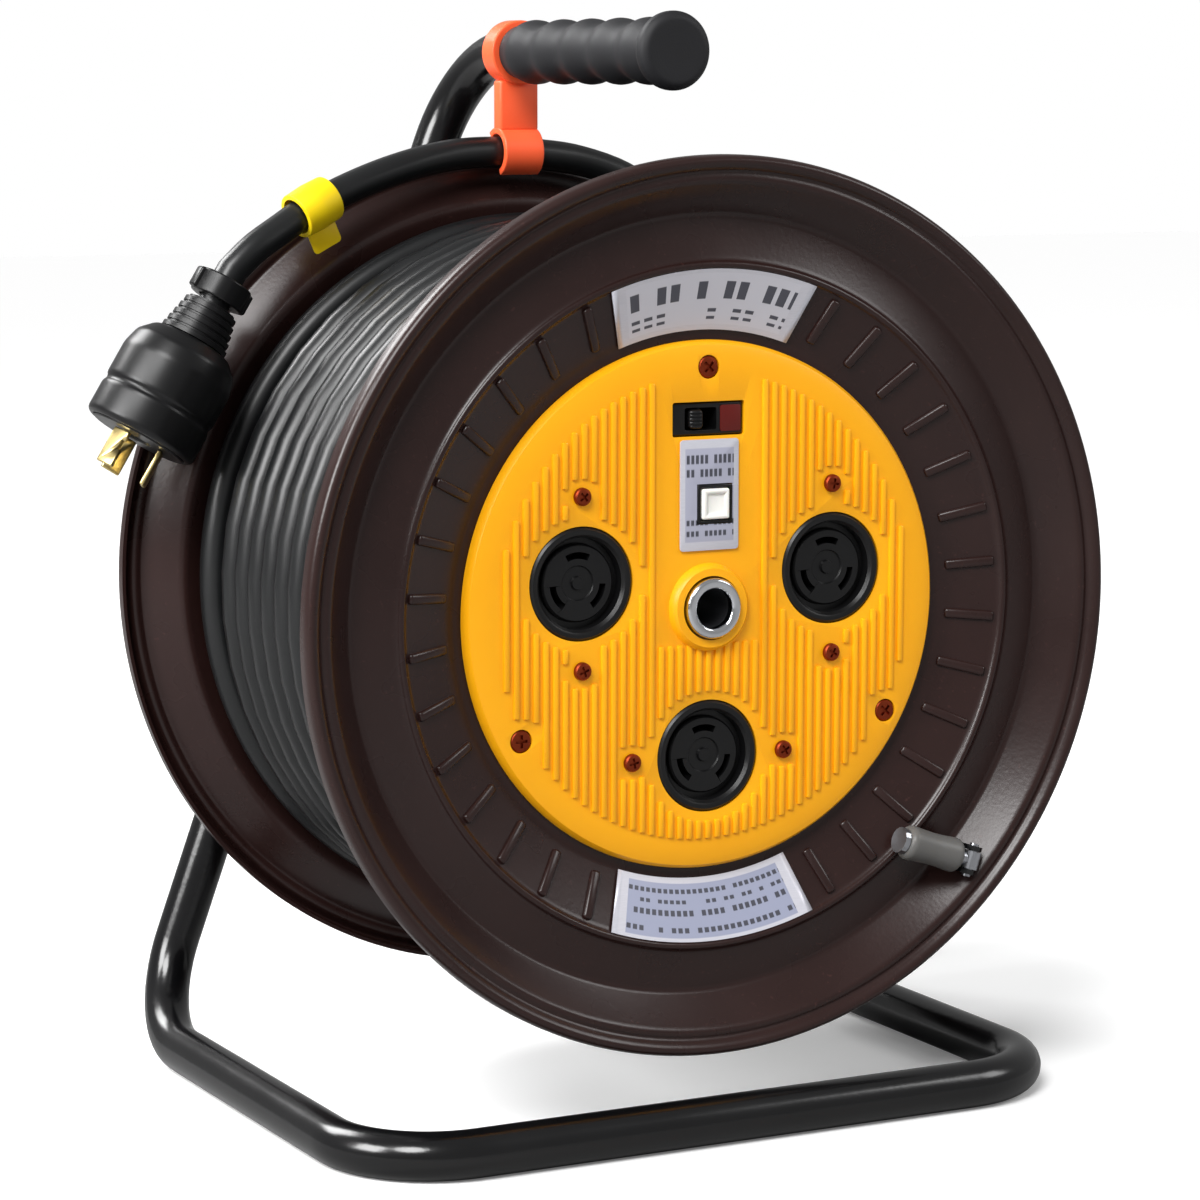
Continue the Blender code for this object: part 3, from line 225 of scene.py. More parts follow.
class ReelColours(bpy.types.PropertyGroup):
    """Colours of the reel's finishes."""

    flange: colour("Flange", "Enamel on the pressed flanges", "261614")
    stand: colour("Stand", "Powder coat on the bent tube", "070708")
    plate: colour("Socket plate", "Yellow of the moulded plate", "FFAE0C")
    cable: colour("Cable", "Rubber of the lead's jacket", "111213")
    fitting: colour("Fittings", "Black of the sockets, plug and breaker", "0B0B0C")
    grip: colour("Grip", "Rubber of the hand grip", "17171A")
    clip: colour("Clip", "Orange of the cable clip", "FF6238")
    tag: colour("Tag", "Yellow of the tag on the lead", "F6D40E")
    label: colour("Label", "Silver of the label film", "C9C9D2")
    button: colour("Test button", "White of the test button", "F4F2EC")
    knob: colour("Crank sleeve", "Grey of the crank's sleeve", "5E5D5B")
    screw: colour("Plate screws", "Browned steel of the screws", "8C3A22")


class ReelSizes(bpy.types.PropertyGroup):
    """Sizes of the detail that the reel's makers would change."""

    ridge_pitch: length("Ridge pitch", "From one ridge of the socket plate to the next", 3.5 * MM)
    ridge_width: length("Ridge width", "Width of a ridge at its foot", 2.1 * MM)
    ridge_height: length("Ridge height", "How far a ridge stands off the plate", 1.0 * MM)
    rib_length: length("Rib length", "Length of a pressed rib along the flange's cone", 17.0 * MM)
    rib_width: length("Rib width", "Width of a pressed rib", 3.4 * MM)
    rib_height: length("Rib height", "How far a pressed rib stands off the cone", 1.3 * MM)
    rib_count: bpy.props.IntProperty(
        name="Ribs", description="Pressed ribs round each flange", min=3, max=90, default=36
    )
    grip_swell: length("Grip swell", "How far the grip's rings swell and narrow", 0.9 * MM)
    grip_pitch: length("Grip pitch", "From one ring of the grip to the next", 23.0 * MM)
    flange_segments: bpy.props.IntProperty(
        name="Flange segments", description="Flat steps round a flange", min=36, max=720, default=288
    )


# Hand work, in the operators that a modeller would use


def deselect():
    bpy.ops.object.select_all(action="DESELECT")


def only(piece):
    """Select this piece alone and make it the active one."""
    deselect()
    piece.select_set(True)
    bpy.context.view_layer.objects.active = piece


def open_mesh(piece, select="SELECT"):
    only(piece)
    bpy.ops.object.mode_set(mode="EDIT")
    bpy.ops.mesh.select_all(action=select)


def close_mesh():
    bpy.ops.object.mode_set(mode="OBJECT")


def settle(piece, place=None):
    """Carry the piece to its place and apply that, which leaves its object at the origin."""
    only(piece)
    if place is not None:
        piece.matrix_world = place @ piece.matrix_world
    bpy.ops.object.transform_apply(location=True, rotation=True, scale=True)
    return piece


def smooth(piece, angle=32):
    only(piece)
    bpy.ops.object.shade_smooth_by_angle(angle=math.radians(angle))
    return piece


def shape(piece, kind, **settings):
    """Give the piece this modifier with these settings, and apply it."""
    only(piece)
    bpy.ops.object.modifier_add(type=kind)
    modifier = piece.modifiers[-1]
    for field, value in settings.items():
        setattr(modifier, field, value)
    bpy.ops.object.modifier_apply(modifier=modifier.name)
    return piece


def soften(piece, width, steps=3, angle=30):
    """Round the edges where faces meet at more than this angle."""
    shape(
        piece,
        "BEVEL",
        width=width,
        segments=steps,
        limit_method="ANGLE",
        angle_limit=math.radians(angle),
        use_clamp_overlap=True,
    )
    return smooth(piece)


def cut(piece, *cutters):
    for cutter in cutters:
        shape(piece, "BOOLEAN", operation="DIFFERENCE", solver="EXACT", object=cutter)
        bpy.data.objects.remove(cutter)
    return piece


def twin(piece, name, place=None):
    """A copy with its own mesh, carried by this matrix."""
    only(piece)
    bpy.ops.object.duplicate(linked=False)
    made = bpy.context.object
    made.name = name
    return settle(made, place)


def joined(name, pieces):
    deselect()
    for piece in pieces:
        piece.select_set(True)
    bpy.context.view_layer.objects.active = pieces[0]
    bpy.ops.object.join()
    pieces[0].name = name
    return pieces[0]


def merge_and_face_out():
    """In edit mode: merge points that meet and turn every face outwards."""
    bpy.ops.mesh.select_all(action="SELECT")
    bpy.ops.mesh.remove_doubles(threshold=3 * POLE)
    bpy.ops.mesh.normals_make_consistent(inside=False)


def lathe(name, profile, segments=96, closed=False, angle=32):
    """A turned piece: one circle drawn out ring by ring along its profile."""
    if closed:
        profile = [*profile, profile[0]]
    deselect()
    radius, depth = max(profile[0][0], POLE), profile[0][1]
    bpy.ops.mesh.primitive_circle_add(vertices=segments, radius=radius, enter_editmode=True)
    bpy.ops.transform.translate(value=(0, 0, -depth))
    for next_radius, next_depth in profile[1:]:
        next_radius = max(next_radius, POLE)
        bpy.ops.mesh.extrude_edges_move(TRANSFORM_OT_translate={"value": (0, 0, depth - next_depth)})
        growth = next_radius / radius
        bpy.ops.transform.resize(value=(growth, growth, 1), center_override=(0, 0, 0))
        radius, depth = next_radius, next_depth
    merge_and_face_out()
    close_mesh()
    piece = bpy.context.object
    piece.name = name
    return smooth(piece, angle)


def block(name, size, at=(0, 0, 0), rounding=0.0, steps=3, turn=(0, 0, 0)):
    """A box with rounded edges, centred here."""
    deselect()
    bpy.ops.mesh.primitive_cube_add(size=1)
    piece = bpy.context.object
    piece.name = name
    piece.scale = size
    settle(piece)
    if rounding:
        soften(piece, rounding, steps)
    piece.location = at
    piece.rotation_euler = turn
    return settle(piece)


def sheet_plate(name, width, height, sheet, corner, edge=0.4 * MM):
    """A flat plate with round corners, lying in local X and Y."""
    piece = block(name, (width, height, sheet))
    open_mesh(piece)
    bpy.ops.mesh.select_mode(type="EDGE")
    bpy.ops.mesh.select_all(action="DESELECT")
    close_mesh()
    for line in piece.data.edges:
        ends = [piece.data.vertices[i].co for i in line.vertices]
        line.select = abs(ends[0].z - ends[1].z) > sheet / 2
    bpy.ops.object.mode_set(mode="EDIT")
    bpy.ops.mesh.bevel(offset=corner, segments=8, affect="EDGES")
    bpy.ops.mesh.select_mode(type="VERT")
    merge_and_face_out()
    close_mesh()
    return soften(piece, edge, 2)


def keep_sector(piece, middle, half):
    """Keep the faces within this angle of the middle direction, and close the ends."""
    open_mesh(piece, "DESELECT")
    close_mesh()
    for face in piece.data.polygons:
        off = math.atan2(face.center.y, face.center.x) - middle
        off = (off + math.pi) % (2 * math.pi) - math.pi
        face.select = abs(off) > half
    bpy.ops.object.mode_set(mode="EDIT")
    bpy.ops.mesh.select_mode(type="FACE")
    bpy.ops.mesh.delete(type="FACE")
    bpy.ops.mesh.select_mode(type="VERT")
    bpy.ops.mesh.select_all(action="SELECT")
    bpy.ops.mesh.fill_holes(sides=0)
    bpy.ops.mesh.normals_make_consistent(inside=False)
    close_mesh()
    return piece


def polar(angle, radius):
    return radius * math.cos(angle), radius * math.sin(angle)


def eased(points, reach, steps=4):
    """The profile with each corner between its ends drawn as a short curve."""
    made = [Vector(points[0])]
    for before, corner, after in zip(points, points[1:], points[2:], strict=False):
        corner = Vector(corner)
        arriving, leaving = Vector(before) - corner, Vector(after) - corner
        start = corner + arriving.normalized() * min(reach, 0.45 * arriving.length)
        end = corner + leaving.normalized() * min(reach, 0.45 * leaving.length)
        for i in range(steps + 1):
            share = i / steps
            made.append(start.lerp(corner, share).lerp(corner.lerp(end, share), share))
    made.append(Vector(points[-1]))
    return [tuple(point) for point in made]


def walled(points, sheet):
    """A closed profile of sheet metal: the outer line, and the same line one sheet behind it."""
    behind = []
    for i, point in enumerate(points):
        before, after = points[max(i - 1, 0)], points[min(i + 1, len(points) - 1)]
        run = Vector((after[0] - before[0], after[1] - before[1])).normalized()
        behind.append((point[0] + run.y * sheet, point[1] - run.x * sheet))
    return [*points, *reversed(behind)]


def fit(piece, body, slot, *nodes, finish=None):
    """Ride on a body, take a finish and stand for these CAD nodes."""
    piece.data.materials.clear()
    piece.data.materials.append(finish or finish_of(slot))
    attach(piece, body)
    if nodes:
        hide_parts(*nodes)
    return piece


# Finishes


def add_node(tree, kind, inputs=None, stops=None, **settings):
    """Add a shader node, with its own settings, its inputs' values or links, and a ramp's stops."""
    made = tree.nodes.new("ShaderNode" + kind)
    for field, value in settings.items():
        setattr(made, field, value)
    for socket, value in (inputs or {}).items():
        if isinstance(value, bpy.types.NodeSocket):
            tree.links.new(value, made.inputs[socket])
        else:
            made.inputs[socket].default_value = value
    for i, (place, value) in enumerate(stops or ()):
        if i >= len(made.color_ramp.elements):
            made.color_ramp.elements.new(place)
        made.color_ramp.elements[i].position = place
        made.color_ramp.elements[i].color = value
    return made


def start_material(name):
    """An empty material, its node tree, and the point's place on the piece in metres."""
    material = bpy.data.materials.new(name)
    material.use_nodes = True
    tree = material.node_tree
    tree.nodes.clear()
    return material, tree, add_node(tree, "TexCoord").outputs["Object"]


def end_material(material, tree, inputs):
    skin = add_node(tree, "BsdfPrincipled", inputs)
    add_node(tree, "OutputMaterial", {"Surface": skin.outputs["BSDF"]})
    return material


def tinted(shade, factor):
    """The colour made lighter or darker."""
    return (*(min(1.0, part * factor) for part in shade[:3]), 1.0)


def enamelled_pressed_steel():
    """Stoved brown enamel on pressed sheet: a satin gleam, faint orange peel, and dull rubbed patches."""
    material, tree, place = start_material("enamelled_pressed_steel")
    paint = tuple(bpy.context.scene.reel_colours.flange)
    patches = add_node(tree, "TexNoise", {"Vector": place, "Scale": 1 / (28 * MM), "Detail": 3.0})
    specks = add_node(tree, "TexNoise", {"Vector": place, "Scale": 1 / (1.6 * MM), "Detail": 2.0})
    # Orange peel is about 1.5 mm across and a few hundredths deep.
    peel = add_node(tree, "TexNoise", {"Vector": place, "Scale": 1 / (1.5 * MM), "Detail": 1.0})
    shade = add_node(
        tree,
        "Mix",
        {0: patches.outputs["Fac"], 6: tinted(paint, 0.8), 7: tinted(paint, 1.25)},
        data_type="RGBA",
    )
    rubbed = add_node(
        tree,
        "ValToRGB",
        {"Fac": specks.outputs["Fac"]},
        stops=[(0.66, (0, 0, 0, 1)), (0.76, (1, 1, 1, 1))],
    )
    worn = add_node(
        tree,
        "Mix",
        {0: rubbed.outputs["Color"], 6: shade.outputs[2], 7: tinted(paint, 1.9)},
        data_type="RGBA",
    )
    gleam = add_node(
        tree, "MapRange", {"Value": patches.outputs["Fac"], "To Min": 0.22, "To Max": 0.34}
    )
    skin = add_node(tree, "Bump", {"Height": peel.outputs["Fac"], "Distance": 0.05 * MM, "Strength": 0.6})
    return end_material(
        material,
        tree,
        {
            "Base Color": worn.outputs[2],
            "Roughness": gleam.outputs["Result"],
            "Specular IOR Level": 0.35,
            "Normal": skin.outputs["Normal"],
        },
    )


def powder_coated_tube():
    """Gloss black powder coat: deep and dark, with long soft highlights broken by a fine peel."""
    material, tree, place = start_material("powder_coated_tube")
    paint = tuple(bpy.context.scene.reel_colours.stand)
    peel = add_node(tree, "TexNoise", {"Vector": place, "Scale": 1 / (1.8 * MM), "Detail": 1.0})
    rub = add_node(tree, "TexNoise", {"Vector": place, "Scale": 1 / (35 * MM), "Detail": 4.0})
    shade = add_node(
        tree, "Mix", {0: rub.outputs["Fac"], 6: tinted(paint, 0.7), 7: tinted(paint, 1.6)}, data_type="RGBA"
    )
    gleam = add_node(tree, "MapRange", {"Value": rub.outputs["Fac"], "To Min": 0.1, "To Max": 0.3})
    skin = add_node(tree, "Bump", {"Height": peel.outputs["Fac"], "Distance": 0.05 * MM, "Strength": 0.5})
    return end_material(
        material,
        tree,
        {
            "Base Color": shade.outputs[2],
            "Roughness": gleam.outputs["Result"],
            "Specular IOR Level": 0.5,
            "Normal": skin.outputs["Normal"],
        },
    )


def moulded(name, shade, roughness, grit, grit_height, mottle=0.06, through=0.0, shine=0.35):
    """A moulded plastic or rubber: spark-eroded grit, a slight mottle, and gloss that varies with it."""
    material, tree, place = start_material(name)
    cloud = add_node(tree, "TexNoise", {"Vector": place, "Scale": 1 / (22 * MM), "Detail": 3.0})
    fine = add_node(tree, "TexNoise", {"Vector": place, "Scale": 1 / grit, "Detail": 2.0})
    tone = add_node(
        tree,
        "Mix",
        {0: cloud.outputs["Fac"], 6: tinted(shade, 1 - mottle), 7: tinted(shade, 1 + mottle)},
        data_type="RGBA",
    )
    gleam = add_node(
        tree,
        "MapRange",
        {"Value": cloud.outputs["Fac"], "To Min": roughness - 0.06, "To Max": roughness + 0.06},
    )
    skin = add_node(tree, "Bump", {"Height": fine.outputs["Fac"], "Distance": grit_height, "Strength": 0.6})
    inputs = {
        "Base Color": tone.outputs[2],
        "Roughness": gleam.outputs["Result"],
        "Specular IOR Level": shine,
        "Normal": skin.outputs["Normal"],
    }
    if through:
        inputs["Subsurface Weight"] = through
        inputs["Subsurface Radius"] = (1.0, 0.5, 0.2)
        inputs["Subsurface Scale"] = 1.5 * MM
    return end_material(material, tree, inputs)


def worked_metal(name, shade, roughness, mark, mark_height, variation=0.12):
    """A bare or plated metal: bright, with cloudy spangle and fine marks from its working."""
    material, tree, place = start_material(name)
    cloud = add_node(tree, "TexNoise", {"Vector": place, "Scale": 1 / (9 * MM), "Detail": 4.0})
    marks = add_node(tree, "TexNoise", {"Vector": place, "Scale": 1 / mark, "Detail": 3.0})
    tone = add_node(
        tree,
        "Mix",
        {0: cloud.outputs["Fac"], 6: tinted(shade, 1 - variation), 7: tinted(shade, 1 + variation)},
        data_type="RGBA",
    )
    gleam = add_node(
        tree,
        "MapRange",
        {"Value": marks.outputs["Fac"], "To Min": roughness * 0.75, "To Max": roughness * 1.25},
    )
    skin = add_node(tree, "Bump", {"Height": marks.outputs["Fac"], "Distance": mark_height, "Strength": 0.5})
    return end_material(
        material,
        tree,
        {
            "Base Color": tone.outputs[2],
            "Metallic": 1.0,
            "Roughness": gleam.outputs["Result"],
            "Normal": skin.outputs["Normal"],
        },
    )


def bands(rows):
    """Ramp stops that are white inside these rows and black between them."""
    stops = []
    for low, high in rows:
        stops += [
            (low - 0.01, (0, 0, 0, 1)),
            (low, (1, 1, 1, 1)),
            (high, (1, 1, 1, 1)),
            (high + 0.01, (0, 0, 0, 1)),
        ]
    return stops


def printed_film(name, curved, reach, rows, line, half_width, mark, field):
    """Silver film with a clean border, printed inside it with rows of plain bars that spell nothing."""
    material, tree, place = start_material(name)
    film = tuple(bpy.context.scene.reel_colours.label)
    from_axle = add_node(tree, "VectorMath", {0: place, 1: (0, 0, AXLE_Z)}, operation="SUBTRACT")
    flat = add_node(tree, "VectorMath", {0: from_axle.outputs[0], 1: (1, 0, 1)}, operation="MULTIPLY")
    parts = add_node(tree, "SeparateXYZ", {"Vector": flat.outputs[0]})
    if curved:
        # The rows run round the axle, so the way along one is an angle times the rows' radius.
        up = add_node(tree, "Math", {0: parts.outputs["Z"]}, operation="ABSOLUTE")
        angle = add_node(tree, "Math", {0: parts.outputs["X"], 1: up.outputs[0]}, operation="ARCTAN2")
        across = add_node(tree, "Math", {0: angle.outputs[0], 1: reach[0]}, operation="MULTIPLY").outputs[0]
        distance = add_node(tree, "VectorMath", {0: flat.outputs[0]}, operation="LENGTH").outputs["Value"]
    else:
        across = parts.outputs["X"]
        distance = parts.outputs["Z"]
    share = add_node(tree, "MapRange", {"Value": distance, "From Min": reach[0], "From Max": reach[1]})
    row = add_node(tree, "ValToRGB", {"Fac": share.outputs["Result"]}, stops=bands(rows))
    middle = add_node(tree, "ValToRGB", {"Fac": share.outputs["Result"]}, stops=bands([(0.08, 0.92)]))
    off = add_node(tree, "Math", {0: across}, operation="ABSOLUTE")
    inside = add_node(tree, "Math", {0: off.outputs[0], 1: half_width}, operation="LESS_THAN")
    framed = add_node(tree, "Math", {0: inside.outputs[0], 1: middle.outputs["Color"]}, operation="MULTIPLY")
    # A bar fills most of its cell, and about one cell in five stays empty.
    cell = add_node(tree, "Math", {0: across, 1: mark}, operation="DIVIDE")
    part = add_node(tree, "Math", {0: cell.outputs[0]}, operation="FRACT")
    bar = add_node(tree, "Math", {0: part.outputs[0], 1: 0.66}, operation="LESS_THAN")
    step = add_node(tree, "Math", {0: cell.outputs[0]}, operation="FLOOR")
    own = add_node(tree, "Math", {0: share.outputs["Result"], 1: line}, operation="SNAP")
    seed = add_node(tree, "Math", {0: own.outputs[0], 1: 71.0, 2: step.outputs[0]}, operation="MULTIPLY_ADD")
    chance = add_node(tree, "TexWhiteNoise", {"W": seed.outputs[0]}, noise_dimensions="1D")
    kept = add_node(tree, "Math", {0: chance.outputs["Value"], 1: 0.2}, operation="GREATER_THAN")
    struck = add_node(tree, "Math", {0: bar.outputs[0], 1: kept.outputs[0]}, operation="MULTIPLY")
    marks = add_node(tree, "Math", {0: struck.outputs[0], 1: framed.outputs[0]}, operation="MULTIPLY")
    ink = add_node(tree, "Math", {0: marks.outputs[0], 1: row.outputs["Color"]}, operation="MULTIPLY")
    fine = add_node(tree, "Mapping", {"Vector": place, "Scale": (1, 1, 12)})
    brush = add_node(
        tree, "TexNoise", {"Vector": fine.outputs["Vector"], "Scale": 1 / (4 * MM), "Detail": 3.0}
    )
    tone = add_node(
        tree, "Mix", {0: brush.outputs["Fac"], 6: tinted(film, 0.9), 7: tinted(film, 1.08)}, data_type="RGBA"
    )
    ground = add_node(
        tree, "Mix", {0: framed.outputs[0], 6: tone.outputs[2], 7: field}, data_type="RGBA"
    )
    printed = add_node(
        tree, "Mix", {0: ink.outputs[0], 6: ground.outputs[2], 7: linear("4A4B55")}, data_type="RGBA"
    )
    return end_material(
        material,
        tree,
        {"Base Color": printed.outputs[2], "Metallic": 0.2, "Roughness": 0.36, "Coat Weight": 0.2},
    )


def finish_of(slot):
    """The finish for a material slot of the record, made the first time that it is asked for."""
    made = bpy.context.scene.get("reel_finishes", {})
    if slot in made:
        return bpy.data.materials[made[slot]]
    colours = bpy.context.scene.reel_colours
    black = tuple(colours.fitting)
    makers = {
        "flange_paint": enamelled_pressed_steel,
        "stand_paint": powder_coated_tube,
        "zinc_steel": lambda: worked_metal("zinc_plated_steel", linear("A9ABB0"), 0.34, 0.8 * MM, 0.01 * MM),
        "chrome_steel": lambda: worked_metal(
            "chrome_plated_turned_steel", linear("D4D6DA"), 0.14, 0.5 * MM, 0.004 * MM, 0.05
        ),
        "plate_plastic": lambda: moulded(
            "moulded_yellow_abs", tuple(colours.plate), 0.36, 0.35 * MM, 0.015 * MM, 0.05, 0.08
        ),
        "black_plastic": lambda: moulded("moulded_black_nylon", black, 0.34, 0.4 * MM, 0.02 * MM, 0.15),
        "dark_screw": lambda: worked_metal(
            "browned_forged_steel", tuple(colours.screw), 0.45, 0.3 * MM, 0.02 * MM, 0.3
        ),
        "white_plastic": lambda: moulded(
            "moulded_white_abs", tuple(colours.button), 0.35, 0.4 * MM, 0.01 * MM, 0.02, 0.1
        ),
        "label_film": lambda: printed_film(
            "printed_silver_film",
            False,
            (19 * MM, 55 * MM),
            [(0.13, 0.17), (0.23, 0.27), (0.67, 0.73), (0.79, 0.86)],
            0.11,
            9 * MM,
            1.7 * MM,
            linear("AFB0C2"),
        ),
        "grey_plastic": lambda: moulded(
            "moulded_grey_polypropylene", tuple(colours.knob), 0.4, 0.5 * MM, 0.02 * MM, 0.05, 0.05
        ),
        "grip_rubber": lambda: moulded(
            "moulded_grip_rubber", tuple(colours.grip), 0.58, 0.5 * MM, 0.05 * MM, 0.18
        ),
        "clip_plastic": lambda: moulded(
            "moulded_orange_polypropylene", tuple(colours.clip), 0.34, 0.5 * MM, 0.02 * MM, 0.06, 0.2
        ),
        "cable_rubber": lambda: moulded(
            "extruded_cable_rubber", tuple(colours.cable), 0.36, 0.45 * MM, 0.03 * MM, 0.22, shine=0.45
        ),
        "tag_vinyl": lambda: moulded(
            "printed_yellow_vinyl", tuple(colours.tag), 0.4, 0.6 * MM, 0.02 * MM, 0.05, 0.1
        ),
        "brass": lambda: worked_metal("stamped_brass", linear("D8C386"), 0.32, 0.6 * MM, 0.008 * MM, 0.1),
        "bronze_bush": lambda: worked_metal(
            "sintered_bronze", linear("9A6B3A"), 0.42, 0.3 * MM, 0.02 * MM, 0.2
        ),
    }
    made = dict(made)
    made[slot] = makers[slot]().name
    bpy.context.scene["reel_finishes"] = made
    return bpy.data.materials[made[slot]]


# The stage


class REEL_OT_stage(bpy.types.Operator):
    """Set the camera, the pale floor and the soft studio light"""

    bl_idname = "reel.stage"
    bl_label = "Stage"

    def execute(self, context):
        bpy.ops.object.camera_add(location=(-0.6083, -1.1854, 0.34785))
        camera = context.object
        camera.name = "studio_camera"
        camera.rotation_euler = Vector((0.4542, 0.8807, -0.1340)).to_track_quat("-Z", "Y").to_euler()
        camera.data.lens = 116.4
        camera.data.sensor_width = 36.0
        camera.data.clip_start = 0.01
        context.scene.camera = camera

        deselect()
        bpy.ops.mesh.primitive_plane_add(size=12)
        floor = context.object
        floor.name = "studio_floor"
        material, tree, place = start_material("matt_white_paper")
        # What the floor sends up at the object is dimmer than what is seen of it, as under a card.
        seen = add_node(tree, "LightPath").outputs["Is Camera Ray"]
        grain = add_node(tree, "TexNoise", {"Vector": place, "Scale": 1 / (0.7 * MM), "Detail": 2.0})
        pale = add_node(
            tree,
            "Mix",
            {0: grain.outputs["Fac"], 6: linear("F8F8F8"), 7: linear("FCFCFC")},
            data_type="RGBA",
        )
        tone = add_node(tree, "Mix", {0: seen, 6: linear("9A9A9A"), 7: pale.outputs[2]}, data_type="RGBA")
        lift = add_node(tree, "Math", {0: seen, 1: 0.12}, operation="MULTIPLY")
        end_material(
            material,
            tree,
            {
                "Base Color": tone.outputs[2],
                "Roughness": 0.9,
                "Specular IOR Level": 0.1,
                "Emission Color": (1, 1, 1, 1),
                "Emission Strength": lift.outputs[0],
            },
        )
        floor.data.materials.append(material)

        world = bpy.data.worlds.new("studio_light_room")
        world.use_nodes = True
        tree = world.node_tree
        tree.nodes.clear()
        seen = add_node(tree, "LightPath").outputs["Is Camera Ray"]
        room = add_node(tree, "Background", {"Color": (1, 1, 1, 1), "Strength": 0.34})
        white = add_node(tree, "Background", {"Color": (1, 1, 1, 1), "Strength": 1.0})
        both = add_node(
            tree, "MixShader", {0: seen, 1: room.outputs["Background"], 2: white.outputs["Background"]}
        )
        add_node(tree, "OutputWorld", {"Surface": both.outputs["Shader"]})
        context.scene.world = world

        bpy.ops.object.light_add(type="SUN", location=(-1.2, -1.1, 1.6))
        sun = context.object
        sun.name = "key_sun"
        sun.data.energy = 2.6
        sun.data.angle = math.radians(24)
        sun.rotation_euler = Vector((1.0, 0.95, -1.35)).to_track_quat("-Z", "Y").to_euler()
        for name, at, size, power in (
            ("left_softbox", (-1.5, -0.2, 0.9), 0.7, 30),
            ("rear_softbox", (-0.7, 1.2, 1.3), 0.7, 24),
            ("right_softbox", (1.3, -0.9, 1.1), 0.6, 7),
        ):
            bpy.ops.object.light_add(type="AREA", location=at)
            light = context.object
            light.name = name
            light.data.size = size
            light.data.energy = power
            aim = Vector((0, 0, 0.18)) - Vector(at)
            light.rotation_euler = aim.to_track_quat("-Z", "Y").to_euler()
        context.scene.view_settings.view_transform = "Standard"
        return {"FINISHED"}


# The cords


def drum_point(angle, radius, depth):
    x, z = polar(angle, radius)
    return Vector((x, DRUM_Y + depth, AXLE_Z + z))


def cord_curve(name, points):
    """A round cord along these points."""
    line = bpy.data.curves.new(name, "CURVE")
    line.dimensions = "3D"
    line.bevel_depth = CABLE_RADIUS
    line.bevel_resolution = 4
    line.use_fill_caps = True
    line.twist_mode = "MINIMUM"
    spline = line.splines.new("POLY")
    spline.points.add(len(points) - 1)
    for point, at in zip(spline.points, points, strict=True):
        point.co = (*at, 1)
    spline.use_smooth = True
    piece = bpy.data.objects.new(name, line)
    bpy.context.scene.collection.objects.link(piece)
    return piece


def winding_route():
    """Four layers laid back and forth on the core, then the step across into the slot for the last turn."""
    step = 2 * math.pi / POINTS_A_TURN
    angle = GLAND_ANGLE
    points = [drum_point(angle, LAYERS[0][0], GLAND_DEPTH)]
    for i, (radius, start, end) in enumerate(LAYERS):
        turns = abs(end - start) / (2 * CABLE_RADIUS)
        if i == len(LAYERS) - 1:
            spare = (angle + 2 * math.pi * turns - LAST_TURN_ANGLE) % (2 * math.pi)
            turns -= spare / (2 * math.pi)
        count = round(turns * POINTS_A_TURN)
        for k in range(1, count + 1):
            share = k / count
            points.append(
                drum_point(angle + 2 * math.pi * turns * share, radius, start + (end - start) * share)
            )
        angle += 2 * math.pi * turns
        if i < len(LAYERS) - 1:
            rise = LAYERS[i + 1][0] - radius
            half_turn = POINTS_A_TURN // 2
            for k in range(1, half_turn + 1):
                share = (1 - math.cos(math.pi * k / half_turn)) / 2
                points.append(drum_point(angle + step * k, radius + rise * share, end))
            angle += math.pi
    radius, _, depth = LAYERS[-1]
    across = (TAIL_TURN[0] - angle) % (2 * math.pi)
    for k in range(1, 9):
        share = k / 8
        eased_share = (1 - math.cos(math.pi * share)) / 2
        points.append(
            drum_point(
                angle + across * share,
                radius + (TAIL_TURN_RADIUS - radius) * share,
                depth + (TAIL_TURN_DEPTH - depth) * eased_share,
            )
        )
    return points


def smooth_route(places, spacing):
    """A point every spacing along a Catmull-Rom curve through the places."""
    padded = [2 * places[0] - places[1], *places, 2 * places[-1] - places[-2]]
    fine = []
    for a, b, c, d in zip(padded, padded[1:], padded[2:], padded[3:], strict=False):
        for i in range(16):
            t = i / 16
            squared = (2 * a - 5 * b + 4 * c - d) * t**2
            cubed = (3 * b - a - 3 * c + d) * t**3
            fine.append(0.5 * (2 * b + (c - a) * t + squared + cubed))
    fine.append(places[-1])
    along = [0.0]
    for a, b in zip(fine, fine[1:], strict=False):
        along.append(along[-1] + (b - a).length)
    count = round(along[-1] / spacing)
    route, k = [], 0
    for i in range(count + 1):
        wanted = along[-1] * i / count
        while k < len(along) - 2 and along[k + 1] < wanted:
            k += 1
        share = (wanted - along[k]) / (along[k + 1] - along[k])
        route.append(fine[k].lerp(fine[k + 1], min(1, max(0, share))))
    return route


def tail_places():
    start, end = TAIL_TURN
    steps = round((end - start) / TAIL_TURN_STEP)
    places = [
        drum_point(start + (end - start) * i / steps, TAIL_TURN_RADIUS, TAIL_TURN_DEPTH)
        for i in range(steps + 1)
    ]
    places += [Vector((x * MM, DRUM_Y + depth * MM, AXLE_Z + z * MM)) for x, depth, z in TAIL_ROUTE_MM]
    places.append(PLUG @ Vector((0, 0, -PLUG_LEAD[0])))
    return places


class REEL_OT_winding(bpy.types.Operator):
    """Wind the lead on the drum's core, layer on layer"""

    bl_idname = "reel.winding"
    bl_label = "Wound lead"

    def execute(self, context):
        points = winding_route()
        piece = fit(cord_curve("wound_lead", points), "drum", "cable_rubber", "cable_winding")
        return {"FINISHED"}


class REEL_OT_tail(bpy.types.Operator):
    """Lay the lead's outer end round the drum, through the clip and down to the plug"""

    bl_idname = "reel.tail"
    bl_label = "Lead's outer end"

    def execute(self, context):
        points = smooth_route(tail_places(), 4 * MM)
        points.append(PLUG @ Vector((0, 0, -PLUG_LEAD[1])))
        piece = fit(cord_curve("lead_end", points), "stand", "cable_rubber", "cable_tail")
        return {"FINISHED"}


# The drum


